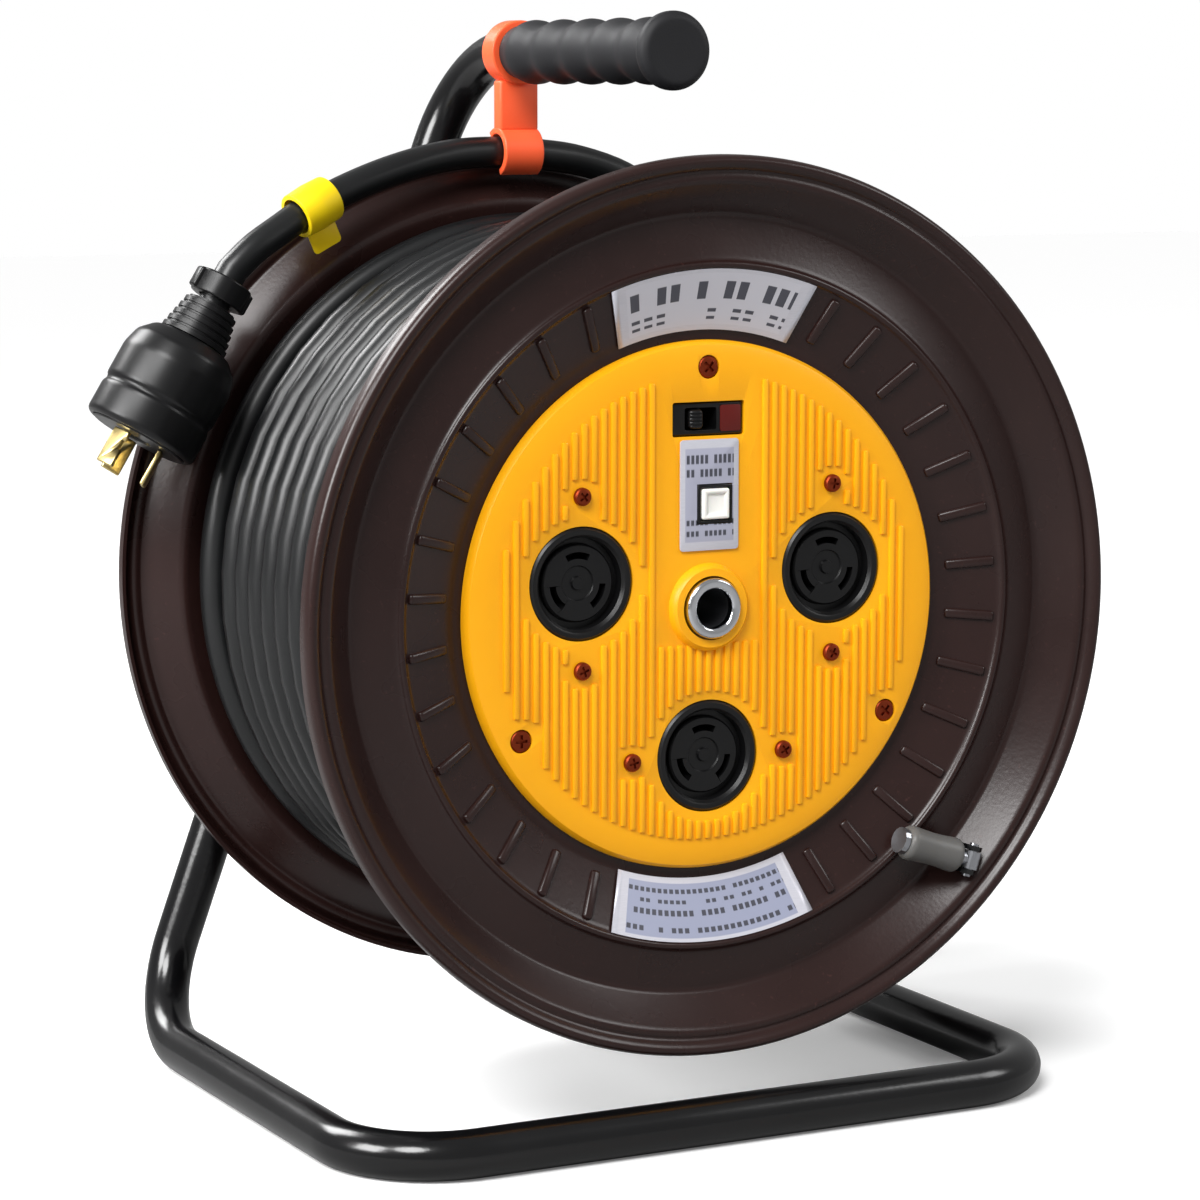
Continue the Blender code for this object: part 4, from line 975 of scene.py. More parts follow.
def flange_line():
    """The pressed flange's outer line, from the rolled rim inwards."""
    rim = FLANGE_RADIUS
    return [
        (rim, 6.2 * MM),
        (rim, 2.6 * MM),
        (rim - 0.7 * MM, 0.8 * MM),
        (rim - 2.2 * MM, 0),
        (rim - 4.0 * MM, 0.9 * MM),
        (rim - 5.6 * MM, 3.0 * MM),
        (rim - 7.0 * MM, 2.3 * MM),
        (rim - 8.6 * MM, 2.4 * MM),
        (rim - 19.5 * MM, 13.4 * MM),
        (rim - 33.9 * MM, 9.3 * MM),
        (rim - 34.8 * MM, 8.0 * MM),
        (rim - 36.2 * MM, 8.0 * MM),
        (rim - 37.1 * MM, 9.6 * MM),
        (90 * MM, SEAT_DEPTH),
        (70 * MM, SEAT_DEPTH),
    ]


def cone_depth(radius):
    """Depth of the flange's cone at this radius."""
    return CREST_DEPTH + (FLANGE_RADIUS - CREST_INSET - radius) * CONE_FALL / CONE_RUN


class REEL_OT_flanges(bpy.types.Operator):
    """Press the two flanges with their rolled rims and the ring of short ribs"""

    bl_idname = "reel.flanges"
    bl_label = "Flanges"

    def execute(self, context):
        sizes = context.scene.reel_sizes
        line = eased(flange_line(), 1.6 * MM, 3)
        front = lathe("front_flange_sheet", walled(line, FLANGE_SHEET), sizes.flange_segments, closed=True)
        rear = twin(front, "rear_flange_sheet")

        depth = cone_depth(RIB_CIRCLE)
        rib = block(
            "pressed_rib",
            (sizes.rib_length, sizes.rib_width, 2 * sizes.rib_height),
            rounding=0.8 * sizes.rib_height,
            steps=3,
        )
        settle(rib, Matrix.Translation((RIB_CIRCLE, 0, -depth)) @ Matrix.Rotation(-CONE_SLOPE, 4, "Y"))
        pitch = 2 * math.pi / sizes.rib_count
        angles = [pitch * (i + 0.5) for i in range(sizes.rib_count)]
        # None stands under the front's two labels, round the top and the bottom.
        clear = math.cos(LABEL_HALF_ANGLE + math.radians(2))
        bare = [angle for angle in angles if abs(math.sin(angle)) < clear]
        front_ribs, rear_ribs = (
            joined(name, [twin(rib, "rib", Matrix.Rotation(angle, 4, "Z")) for angle in wanted])
            for name, wanted in (("front_flange_ribs", bare), ("rear_flange_ribs", angles))
        )
        bpy.data.objects.remove(rib)
        for piece, place, nodes in (
            (front, FACING, ("front_flange",)),
            (front_ribs, FACING, ()),
            (rear, FACING_BACK, ("rear_flange",)),
            (rear_ribs, FACING_BACK, ()),
        ):
            fit(settle(piece, place), "drum", "flange_paint", *nodes)
        return {"FINISHED"}


class REEL_OT_labels(bpy.types.Operator):
    """Lay the two curved silver labels on the front flange's cone"""

    bl_idname = "reel.labels"
    bl_label = "Flange labels"

    def execute(self, context):
        lift = Vector((math.sin(CONE_SLOPE), math.cos(CONE_SLOPE))) * LABEL_LIFT
        ends = [(radius - lift.x, cone_depth(radius) - lift.y) for radius in reversed(LABEL_BAND)]
        bold = printed_film(
            "printed_bold_silver_film",
            True,
            LABEL_BAND,
            [(0.16, 0.2), (0.28, 0.33), (0.5, 0.78)],
            0.45,
            27.5 * MM,
            4.4 * MM,
            linear("CDCDD6"),
        )
        small = printed_film(
            "printed_small_silver_film",
            True,
            LABEL_BAND,
            [(0.17, 0.23), (0.34, 0.39), (0.5, 0.58), (0.77, 0.84)],
            0.15,
            27.5 * MM,
            2.1 * MM,
            linear("9CA1B8"),
        )
        for name, node, middle, film in (
            ("label_above", "sector_label_top", math.pi / 2, bold),
            ("label_below", "sector_label_bottom", -math.pi / 2, small),
        ):
            piece = lathe(name, walled(ends, LABEL_SHEET), 288, closed=True)
            keep_sector(piece, middle, LABEL_HALF_ANGLE)
            fit(settle(piece, FACING), "drum", "label_film", node, finish=film)
        return {"FINISHED"}


def socket_screw_places():
    return [
        (x + side * SOCKET_SCREW_REACH * dx, y + side * SOCKET_SCREW_REACH * dy)
        for _, _, (x, y), (dx, dy) in SOCKETS
        for side in (-1, 1)
    ]


def plate_screw_places():
    return [polar(angle, PLATE_SCREW_CIRCLE) for angle in PLATE_SCREW_ANGLES]


def peg(radius, at, low, high):
    """A round cutter through these depths."""
    piece = lathe("cutter", [(0, low), (radius, low), (radius, high), (0, high)], 64)
    return settle(piece, Matrix.Translation((*at, 0)))


def ridge_runs(x, half):
    """The stretches of a ridge at this X that keep clear of the screws, sockets, window and boss."""
    reach = math.sqrt(max(0.0, RIDGE_REACH**2 - x**2))
    blocked = []
    if SMOOTH_STRIP[0] < x < SMOOTH_STRIP[1]:
        blocked.append((SMOOTH_STRIP_FOOT, PLATE_RADIUS))
    rounds = [(centre, SOCKET_RADIUS + SOCKET_HALO) for _, _, centre, _ in SOCKETS]
    rounds += [(place, SOCKET_SCREW_HALO) for place in socket_screw_places()]
    rounds += [(place, PLATE_SCREW_HALO) for place in plate_screw_places()]
    for (cx, cy), radius in rounds:
        off = abs(x - cx) - half
        if off < radius:
            span = math.sqrt(radius**2 - max(0.0, off) ** 2)
            blocked.append((cy - span, cy + span))
    runs, low = [], -reach
    for start, end in sorted(blocked):
        if start > low:
            runs.append((low, min(start, reach)))
        low = max(low, end)
    if low < reach:
        runs.append((low, reach))
    return [(a, b) for a, b in runs if b - a > 4 * MM]


class REEL_OT_socket_plate(bpy.types.Operator):
    """Mould the yellow socket plate with its boss, openings and upright ridges"""

    bl_idname = "reel.socket_plate"
    bl_label = "Socket plate"

    def execute(self, context):
        rim = PLATE_RADIUS
        boss_back = PLATE_FACE - 0.4 * MM
        hub_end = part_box("front_bush")[1].y - DRUM_Y + 0.3 * MM
        line = [
            (10.6 * MM, boss_back),
            (10.6 * MM, 10.0 * MM),
            (13.0 * MM, 10.0 * MM),
            (14.0 * MM, 11.0 * MM),
            (14.6 * MM, PLATE_FACE),
            (rim - 9.0 * MM, PLATE_FACE),
            (rim - 4.0 * MM, PLATE_FACE + 0.2 * MM),
            (rim - 1.4 * MM, PLATE_FACE + 1.0 * MM),
            (rim - 0.3 * MM, PLATE_FACE + 2.4 * MM),
            (rim, PLATE_FACE + 4.7 * MM),
            (rim - 2.5 * MM, PLATE_FACE + 4.7 * MM),
            (rim - 2.8 * MM, PLATE_FACE + 2.8 * MM),
            (HUB_OUTSIDE, PLATE_FACE + 2.6 * MM),
            (HUB_OUTSIDE, hub_end),
            (HUB_BORE, hub_end),
            (HUB_BORE, boss_back),
        ]
        plate = lathe("socket_plate", line, 240, closed=True)
        cutters = [peg(SOCKET_RADIUS + 0.25 * MM, centre, 0, 25 * MM) for _, _, centre, _ in SOCKETS]
        for place in plate_screw_places():
            cutters.append(peg(PLATE_SCREW_HEAD + 0.2 * MM, place, 0, PLATE_FACE + 1.9 * MM))
        cutters.append(
            block("cutter", (*WINDOW, 60 * MM), (0, BREAKER_HEIGHT, -PLATE_FACE), rounding=0.8 * MM)
        )
        cutters.append(block("cutter", (BUTTON_HOLE, BUTTON_HOLE, 60 * MM), (*BUTTON_CENTRE, -PLATE_FACE)))
        cut(plate, *cutters)
        soften(plate, 0.35 * MM, 2, 50)
        fit(settle(plate, FACING), "drum", "plate_plastic", "face_plate")

        sizes = context.scene.reel_sizes
        half = sizes.ridge_width / 2
        thickness = 2 * sizes.ridge_height
        count = math.floor(RIDGE_REACH / sizes.ridge_pitch)
        deselect()
        ridges = []
        for i in range(-count, count + 1):
            x = i * sizes.ridge_pitch
            for low, high in ridge_runs(x, half):
                ridges.append((x, (low + high) / 2, high - low))
        x, y, span = ridges[0]
        bpy.ops.mesh.primitive_cube_add(
            size=1, location=(x, y, -PLATE_FACE), scale=(2 * half, span, thickness), enter_editmode=True
        )
        piece = context.object
        close_mesh()
        settle(piece)
        bpy.ops.object.mode_set(mode="EDIT")
        for x, y, span in ridges[1:]:
            bpy.ops.mesh.primitive_cube_add(
                size=1, location=(x, y, -PLATE_FACE), scale=(2 * half, span, thickness)
            )
        close_mesh()
        piece.name = "socket_plate_ridges"
        soften(piece, RIDGE_EASE, 2)
        fit(settle(piece, FACING), "drum", "plate_plastic")
        return {"FINISHED"}


class REEL_OT_sockets(bpy.types.Operator):
    """Make one recessed twist-lock socket with its curved slots, and copy it"""

    bl_idname = "reel.sockets"
    bl_label = "Sockets"

    def execute(self, context):
        front = PLATE_FACE - 0.4 * MM
        line = [
            (0, 15.2 * MM),
            (2.0 * MM, 15.2 * MM),
            (2.4 * MM, 16.2 * MM),
            (5.4 * MM, 16.2 * MM),
            (5.8 * MM, 15.6 * MM),
            (12.2 * MM, 15.6 * MM),
            (12.8 * MM, 16.2 * MM),
            (13.0 * MM, 17.8 * MM),
            (14.8 * MM, 17.8 * MM),
            (15.0 * MM, 17.0 * MM),
            (15.0 * MM, front + 1.4 * MM),
            (15.9 * MM, front + 0.3 * MM),
            (16.6 * MM, front),
            (17.6 * MM, front),
            (SOCKET_RADIUS, front + 0.8 * MM),
            (SOCKET_RADIUS, front + 34 * MM),
            (0, front + 34 * MM),
        ]
        body = lathe("socket", line, 96, angle=25)
        slot = lathe(
            "cutter",
            [(7.9 * MM, 10 * MM), (10.1 * MM, 10 * MM), (10.1 * MM, 27 * MM), (7.9 * MM, 27 * MM)],
            96,
            closed=True,
        )
        slots = []
        for i in range(3):
            middle = math.pi / 2 + i * 2 * math.pi / 3
            arc = twin(slot, f"slot_{i}")
            slots.append(keep_sector(arc, middle, math.radians(25)))
        bpy.data.objects.remove(slot)
        cut(body, *slots)
        smooth(body, 25)
        for name, node, centre, _ in SOCKETS:
            piece = twin(body, name, FACING @ Matrix.Translation((*centre, 0)))
            fit(piece, "drum", "black_plastic", node)
        bpy.data.objects.remove(body)
        return {"FINISHED"}


def cross_head_screw(name, radius, front):
    """A screw's head with a cross recess, its face at this depth."""
    back = front + 2.0 * MM
    line = [
        (0, front),
        (radius * 0.55, front + 0.05 * MM),
        (radius - 0.5 * MM, front + 0.3 * MM),
        (radius - 0.1 * MM, front + 0.8 * MM),
        (radius, back),
        (0, back),
    ]
    head = lathe(name, line, 48)
    arm = 1.15 * radius
    bars = [
        block("cutter", (arm, 0.26 * radius, 2.2 * MM), (0, 0, -front)),
        block("cutter", (0.26 * radius, arm, 2.2 * MM), (0, 0, -front)),
    ]
    return cut(head, *bars)


class REEL_OT_screws(bpy.types.Operator):
    """Make the two sizes of cross-head screw and set them in the socket plate"""

    bl_idname = "reel.screws"
    bl_label = "Plate screws"

    def execute(self, context):
        for label, places, radius, front, turn in (
            ("socket_screw", socket_screw_places(), SOCKET_SCREW_HEAD, 10.7 * MM, 0.35),
            ("plate_screw", plate_screw_places(), PLATE_SCREW_HEAD, 12.7 * MM, 0.8),
        ):
            screw = cross_head_screw("screw", radius, front)
            for i, place in enumerate(places, start=1):
                spot = Matrix.Translation((*place, 0)) @ Matrix.Rotation(turn * i, 4, "Z")
                piece = twin(screw, f"{label}_head_{i}", FACING @ spot)
                fit(piece, "drum", "dark_screw", f"{label}_{i}")
            bpy.data.objects.remove(screw)
        return {"FINISHED"}


class REEL_OT_breaker(bpy.types.Operator):
    """Fit the breaker's housing, its lever and the red mark beside it"""

    bl_idname = "reel.breaker"
    bl_label = "Breaker"

    def execute(self, context):
        body = block(
            "breaker_housing",
            BREAKER_SIZE,
            (0, BREAKER_HEIGHT, -BREAKER_FRONT - BREAKER_SIZE[2] / 2),
            rounding=0.7 * MM,
        )
        pocket = block(
            "cutter",
            (11.6 * MM, 7.2 * MM, 22 * MM),
            (LEVER_X, BREAKER_HEIGHT, -BREAKER_FRONT),
            rounding=0.6 * MM,
        )
        cut(body, pocket)
        soften(body, 0.3 * MM, 2, 50)
        fit(settle(body, FACING), "drum", "black_plastic", "breaker_body")

        low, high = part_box("breaker_lever")
        lever = block("breaker_toggle", LEVER_SIZE, rounding=1.4 * MM, steps=4)
        grooves = [
            block("cutter", (6 * MM, 0.5 * MM, 0.8 * MM), (0, offset * MM, LEVER_SIZE[2] / 2))
            for offset in (-1.8, -0.6, 0.6, 1.8)
        ]
        cut(lever, *grooves)
        tilt = Matrix.Rotation(LEVER_TILT, 4, "Y")
        centre = (low + high) / 2
        upright = Matrix.Translation(centre) @ Matrix.Rotation(math.pi / 2, 4, "X")
        fit(settle(lever, upright @ tilt.inverted()), "breaker_lever", "black_plastic", "breaker_lever")

        mark = sheet_plate("breaker_mark", 7.6 * MM, 8.6 * MM, 0.4 * MM, 0.8 * MM, 0.1 * MM)
        settle(mark, FACING @ Matrix.Translation((8.4 * MM, BREAKER_HEIGHT, -BREAKER_FRONT + 0.15 * MM)))
        red = moulded("pad_printed_red", linear("5A100A"), 0.4, 0.5 * MM, 0.01 * MM, 0.1)
        fit(mark, "drum", "black_plastic", finish=red)
        return {"FINISHED"}


class REEL_OT_test_button(bpy.types.Operator):
    """Fit the test button in its frame, on its small grey label"""

    bl_idname = "reel.test_button"
    bl_label = "Test button"

    def execute(self, context):
        x, y = BUTTON_CENTRE
        rim = block(
            "test_button_frame",
            (BUTTON_FRAME, BUTTON_FRAME, BUTTON_FRAME_LENGTH),
            (x, y, -BUTTON_FRAME_FRONT - BUTTON_FRAME_LENGTH / 2),
        )
        well = block(
            "cutter", (10.6 * MM, 10.6 * MM, 22.6 * MM), (x, y, -BUTTON_FRAME_FRONT), rounding=0.5 * MM
        )
        cut(rim, well)
        soften(rim, 0.45 * MM, 3, 50)
        fit(settle(rim, FACING), "drum", "black_plastic", "test_frame")

        low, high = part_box("test_button")
        size = high - low
        cap = block("test_button_cap", (size.x, size.z, size.y), rounding=0.7 * MM, steps=4)
        dish = block("cutter", (6.4 * MM, 6.4 * MM, 0.8 * MM), (0, 0, size.y / 2), rounding=0.35 * MM)
        cut(cap, dish)
        place = Matrix.Translation((low + high) / 2) @ Matrix.Rotation(math.pi / 2, 4, "X")
        fit(settle(cap, place), "test_button", "white_plastic", "test_button")

        label = sheet_plate("test_button_label", *TEST_LABEL, TEST_LABEL_SHEET, 1.2 * MM, 0.12 * MM)
        settle(label, Matrix.Translation((0, TEST_LABEL_HEIGHT, -PLATE_FACE + 0.55 * MM)))
        hole = block("cutter", (13.2 * MM, 13.2 * MM, 6 * MM), (x, y, -PLATE_FACE))
        cut(label, hole)
        fit(settle(label, FACING), "drum", "label_film", "test_label")
        return {"FINISHED"}


class REEL_OT_axle(bpy.types.Operator):
    """Turn the axle's chrome ring, and make the nut behind the stand's plate"""

    bl_idname = "reel.axle"
    bl_label = "Axle ring and nut"

    def execute(self, context):
        line = [
            (6.5 * MM, 11.0 * MM),
            (6.5 * MM, 8.5 * MM),
            (7.2 * MM, 7.8 * MM),
            (9.2 * MM, 7.7 * MM),
            (10.0 * MM, 8.5 * MM),
            (10.0 * MM, 11.0 * MM),
        ]
        ring = lathe("axle_front_ring", eased(line, 0.4 * MM, 3), 96, closed=True)
        fit(settle(ring, FACING), "stand", "chrome_steel", "axle_end_ring")

        low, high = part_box("axle_nut")
        thick = high.y - low.y
        deselect()
        bpy.ops.mesh.primitive_cylinder_add(vertices=6, radius=NUT_RADIUS, depth=thick)
        nut = context.object
        nut.name = "axle_hex_nut"
        domed = lathe(
            "cutter",
            [(16.5 * MM, -9 * MM), (12.6 * MM, -thick / 2), (18 * MM, -1.2 * MM), (18 * MM, -9 * MM)],
            64,
            closed=True,
        )
        bore = peg(NUT_BORE, (0, 0), -20 * MM, 20 * MM)
        cut(nut, domed, bore)
        smooth(nut, 30)
        place = Matrix.Translation((low + high) / 2) @ Matrix.Rotation(-math.pi / 2, 4, "X")
        fit(settle(nut, place), "stand", "zinc_steel", "axle_nut")
        return {"FINISHED"}


class REEL_OT_rear_cover(bpy.types.Operator):
    """Press the rear cover with its rings and hub, and set the four bolt heads"""

    bl_idname = "reel.rear_cover"
    bl_label = "Rear cover"

    def execute(self, context):
        inner = DRUM_WIDTH - REAR_COVER_INSET
        outer = inner + REAR_COVER_SHEET
        hub_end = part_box("rear_cover")[1].y - DRUM_Y
        line = [
            (REAR_COVER_RADIUS, inner),
            (REAR_COVER_RADIUS, outer - 0.2 * MM),
            (REAR_COVER_RADIUS - 2 * MM, outer),
            (64 * MM, outer),
            (61 * MM, outer - 1.0 * MM),
            (46 * MM, outer - 1.0 * MM),
            (43 * MM, outer),
            (20 * MM, outer),
            (17.2 * MM, outer + 1.6 * MM),
            (HUB_OUTSIDE, outer + 3 * MM),
            (HUB_OUTSIDE, hub_end - 0.6 * MM),
            (HUB_OUTSIDE - 0.6 * MM, hub_end),
            (HUB_BORE, hub_end),
            (HUB_BORE, inner + 0.6 * MM),
            (20 * MM, inner),
        ]
        cover = lathe("rear_cover_disc", line, 192, closed=True)
        fit(settle(cover, FACING), "drum", "flange_paint", "rear_cover")

        head_radius, head_length = BOLT_HEAD
        deselect()
        bpy.ops.mesh.primitive_cylinder_add(vertices=6, radius=head_radius, depth=head_length)
        head = context.object
        soften(head, 0.4 * MM, 2)
        line = [
            (2.6 * MM, -0.9 * MM),
            (5.6 * MM, -0.9 * MM),
            (5.6 * MM, 0.2 * MM),
            (2.6 * MM, 0.2 * MM),
        ]
        washer = lathe("washer", eased(line, 0.2 * MM, 2), 48, closed=True)
        settle(washer, Matrix.Translation((0, 0, -1.4 * MM)))
        low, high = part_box("tie_rod_1")
        rod_end = high.y - low.y - head_length / 2
        shank = lathe("shank", [(0, MM), (BOLT_RADIUS, MM), (BOLT_RADIUS, rod_end), (0, rod_end)], 32)
        bolt = joined("tie_bolt", [head, washer, shank])
        for i in range(4):
            low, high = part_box(f"tie_rod_{i + 1}")
            middle = (low + high) / 2
            spot = Matrix.Translation((middle.x, high.y - head_length / 2, middle.z))
            place = spot @ Matrix.Rotation(-math.pi / 2, 4, "X")
            piece = twin(bolt, f"tie_bolt_{i + 1}", place)
            fit(piece, "drum", "zinc_steel", f"tie_rod_{i + 1}")
        bpy.data.objects.remove(bolt)
        return {"FINISHED"}


# The stand


def bend_towards(ring_centre, heading, next_heading, radius, steps):
    """In edit mode: carry the selected ring round a bend to the next heading, and give its centre."""
    axis = heading.cross(next_heading).normalized()
    inward = axis.cross(heading).normalized()
    centre = ring_centre + inward * radius
    angle = heading.angle(next_heading)
    bpy.ops.mesh.spin(steps=steps, angle=-angle, center=centre, axis=axis)
    return centre + Matrix.Rotation(angle, 3, axis) @ (ring_centre - centre)


class REEL_OT_stand(bpy.types.Operator):
    """Bend the stand's tube, and weld on the axle's plate and the gusset"""

    bl_idname = "reel.stand"
    bl_label = "Stand"

    def execute(self, context):
        leg_y = TUBE_HIGH.y - TUBE_RADIUS
        front_y = TUBE_LOW.y + TUBE_RADIUS
        side = TUBE_HIGH.x - TUBE_RADIUS
        apex = Vector((0, leg_y, HANDLE_Z))
        rear_right = Vector((side, leg_y, TUBE_RADIUS))
        share = RIGHT_LEG_DROP / (HANDLE_Z - TUBE_RADIUS)
        corners = [
            apex.lerp(rear_right, share),
            rear_right,
            Vector((side, front_y, TUBE_RADIUS)),
            Vector((-side, front_y, TUBE_RADIUS)),
            Vector((-side, leg_y, TUBE_RADIUS)),
            apex,
            Vector((0, DRUM_Y + HANDLE_START, HANDLE_Z)),
        ]
        heading = (corners[1] - corners[0]).normalized()
        deselect()
        bpy.ops.mesh.primitive_circle_add(
            vertices=48,
            radius=TUBE_RADIUS,
            location=corners[0],
            rotation=heading.to_track_quat("Z", "Y").to_euler(),
        )
        tube = context.object
        settle(tube)
        tube.name = "bent_tube"
        open_mesh(tube)
        bpy.ops.mesh.edge_face_add()
        bpy.ops.mesh.select_mode(type="EDGE")
        at = corners[0]
        for corner, after in zip(corners[1:], corners[2:], strict=False):
            next_heading = (after - corner).normalized()
            turn = heading.angle(next_heading)
            stop = corner - heading * TUBE_BEND * math.tan(turn / 2)
            bpy.ops.mesh.extrude_edges_move(TRANSFORM_OT_translate={"value": stop - at})
            at = bend_towards(stop, heading, next_heading, TUBE_BEND, 14)
            heading = next_heading
        bpy.ops.mesh.extrude_edges_move(TRANSFORM_OT_translate={"value": corners[-1] - at})
        bpy.ops.mesh.edge_face_add()
        bpy.ops.mesh.select_mode(type="VERT")
        merge_and_face_out()
        close_mesh()
        smooth(tube, 40)
        fit(tube, "stand", "stand_paint", "stand_tube")

        low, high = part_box("axle_plate")
        size = high - low
        plate = sheet_plate("axle_cross_plate", size.x, size.z, size.y, 6 * MM)
        cut(plate, peg(NUT_BORE, (0, 0), -20 * MM, 20 * MM))
        place = Matrix.Translation((low + high) / 2) @ Matrix.Rotation(math.pi / 2, 4, "X")
        fit(settle(plate, place), "stand", "stand_paint", "axle_plate")

        low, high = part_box("leg_gusset")
        size = high - low
        gusset = sheet_plate("leg_top_gusset", size.x, size.z, size.y, 4 * MM)
        place = Matrix.Translation((low + high) / 2) @ Matrix.Rotation(math.pi / 2, 4, "X")
        fit(settle(gusset, place), "stand", "stand_paint", "leg_gusset")
        return {"FINISHED"}


class REEL_OT_handle(bpy.types.Operator):
    """Slide the ringed rubber grip and its flanged end cap on the handle"""

    bl_idname = "reel.handle"
    bl_label = "Grip"

    def execute(self, context):
        sizes = context.scene.reel_sizes
        start, end = GRIP_SPAN
        lobes = round((end - start) / sizes.grip_pitch)
        rings = 12 * lobes
        bore = TUBE_RADIUS + 0.25 * MM
        line = [(bore, end), (bore, start)]
        for i in range(rings + 1):
            share = i / rings
            swell = sizes.grip_swell * math.cos(2 * math.pi * lobes * share)
            line.append((GRIP_RADIUS - swell, start + share * (end - start)))
        grip = lathe("rubber_grip", line, 72, closed=True, angle=50)
        fit(settle(grip, HANDLE), "stand", "grip_rubber", "handle_grip")

        cap = [
            (0, 35.0 * MM),
            (6.0 * MM, 34.9 * MM),
            (10.8 * MM, 34.7 * MM),
            (13.0 * MM, 36.4 * MM),
            (13.0 * MM, 39.6 * MM),
            (11.4 * MM, 42.4 * MM),
            (8.25 * MM, 42.4 * MM),
            (8.25 * MM, 40.0 * MM),
            (0, 40.0 * MM),
        ]
        end_cap = lathe("grip_cap", eased(cap, 1.1 * MM, 4), 72, angle=50)
        fit(settle(end_cap, HANDLE), "stand", "grip_rubber", "grip_end_cap")
        return {"FINISHED"}


class REEL_OT_clip(bpy.types.Operator):
    """Mould the orange clip: a ring on the handle, a strap, and a hook over the lead"""

    bl_idname = "reel.clip"
    bl_label = "Cable clip"

    def execute(self, context):
        start, end = CLIP_SPAN
        line = [(SLEEVE_BORE, start), (CLIP_RADIUS, start), (CLIP_RADIUS, end), (SLEEVE_BORE, end)]
        ring = lathe("clip_ring", line, 72, closed=True)
        soften(ring, 0.6 * MM, 3, 50)
        settle(ring, HANDLE)

        hook_y = DRUM_Y + TAIL_ROUTE_MM[6][1] * MM
        hook_z = AXLE_Z + TAIL_ROUTE_MM[6][2] * MM
        inner, outer = HOOK_RADII
        half = CLIP_WIDTH / 2
        line = [(inner, -half), (outer, -half), (outer, half), (inner, half)]
        hook = lathe("clip_hook", line, 72, closed=True)
        keep_sector(hook, math.radians(151), math.radians(99))
        soften(hook, 0.5 * MM, 3, 50)
        # Local X is towards +Y, local Y is up.
        sideways = Matrix(((0, 0, 1, 0), (1, 0, 0, hook_y), (0, 1, 0, hook_z), (0, 0, 0, 1)))
        settle(hook, sideways)

        low = hook_z + 7.4 * MM
        high = HANDLE_Z - 9.7 * MM
        strap_y = DRUM_Y + (start + end) / 2
        strap = block(
            "clip_strap",
            (CLIP_WIDTH, CLIP_STRAP, high - low),
            (0, strap_y, (low + high) / 2),
            rounding=1.1 * MM,
        )
        clip = joined("orange_clip", [ring, hook, strap])
        fit(clip, "stand", "clip_plastic", "cable_clip")
        return {"FINISHED"}


class REEL_OT_crank(bpy.types.Operator):
    """Turn the folding crank's sleeve"""

    bl_idname = "reel.crank"
    bl_label = "Crank"

    def execute(self, context):
        x, z = polar(CRANK_ANGLE, FLANGE_RADIUS - CRANK_INSET)
        spot = Matrix.Translation((x, DRUM_Y + CRANK_DEPTH, AXLE_Z + z))
        hinge = spot @ Matrix.Rotation(CRANK_TURN, 4, "Y")
        # The sleeve's depth runs back along local Z, so the axis is turned to run along the folded knob.
        along = hinge @ Matrix.Rotation(-math.pi / 2, 4, "Y")
        line = [
            (2.3 * MM, 5.5 * MM),
            (4.6 * MM, 5.5 * MM),
            (6.0 * MM, 7.0 * MM),
            (5.6 * MM, 12.0 * MM),
            (5.4 * MM, 16.5 * MM),
            (5.6 * MM, 21.0 * MM),
            (6.0 * MM, 26.2 * MM),
            (4.8 * MM, 27.7 * MM),
            (2.3 * MM, 27.7 * MM),
        ]
        sleeve = lathe("crank_knob", eased(line, 1.2 * MM, 4), 64, closed=True, angle=50)
        fit(settle(sleeve, along), "crank_sleeve", "grey_plastic", "crank_sleeve")
        return {"FINISHED"}


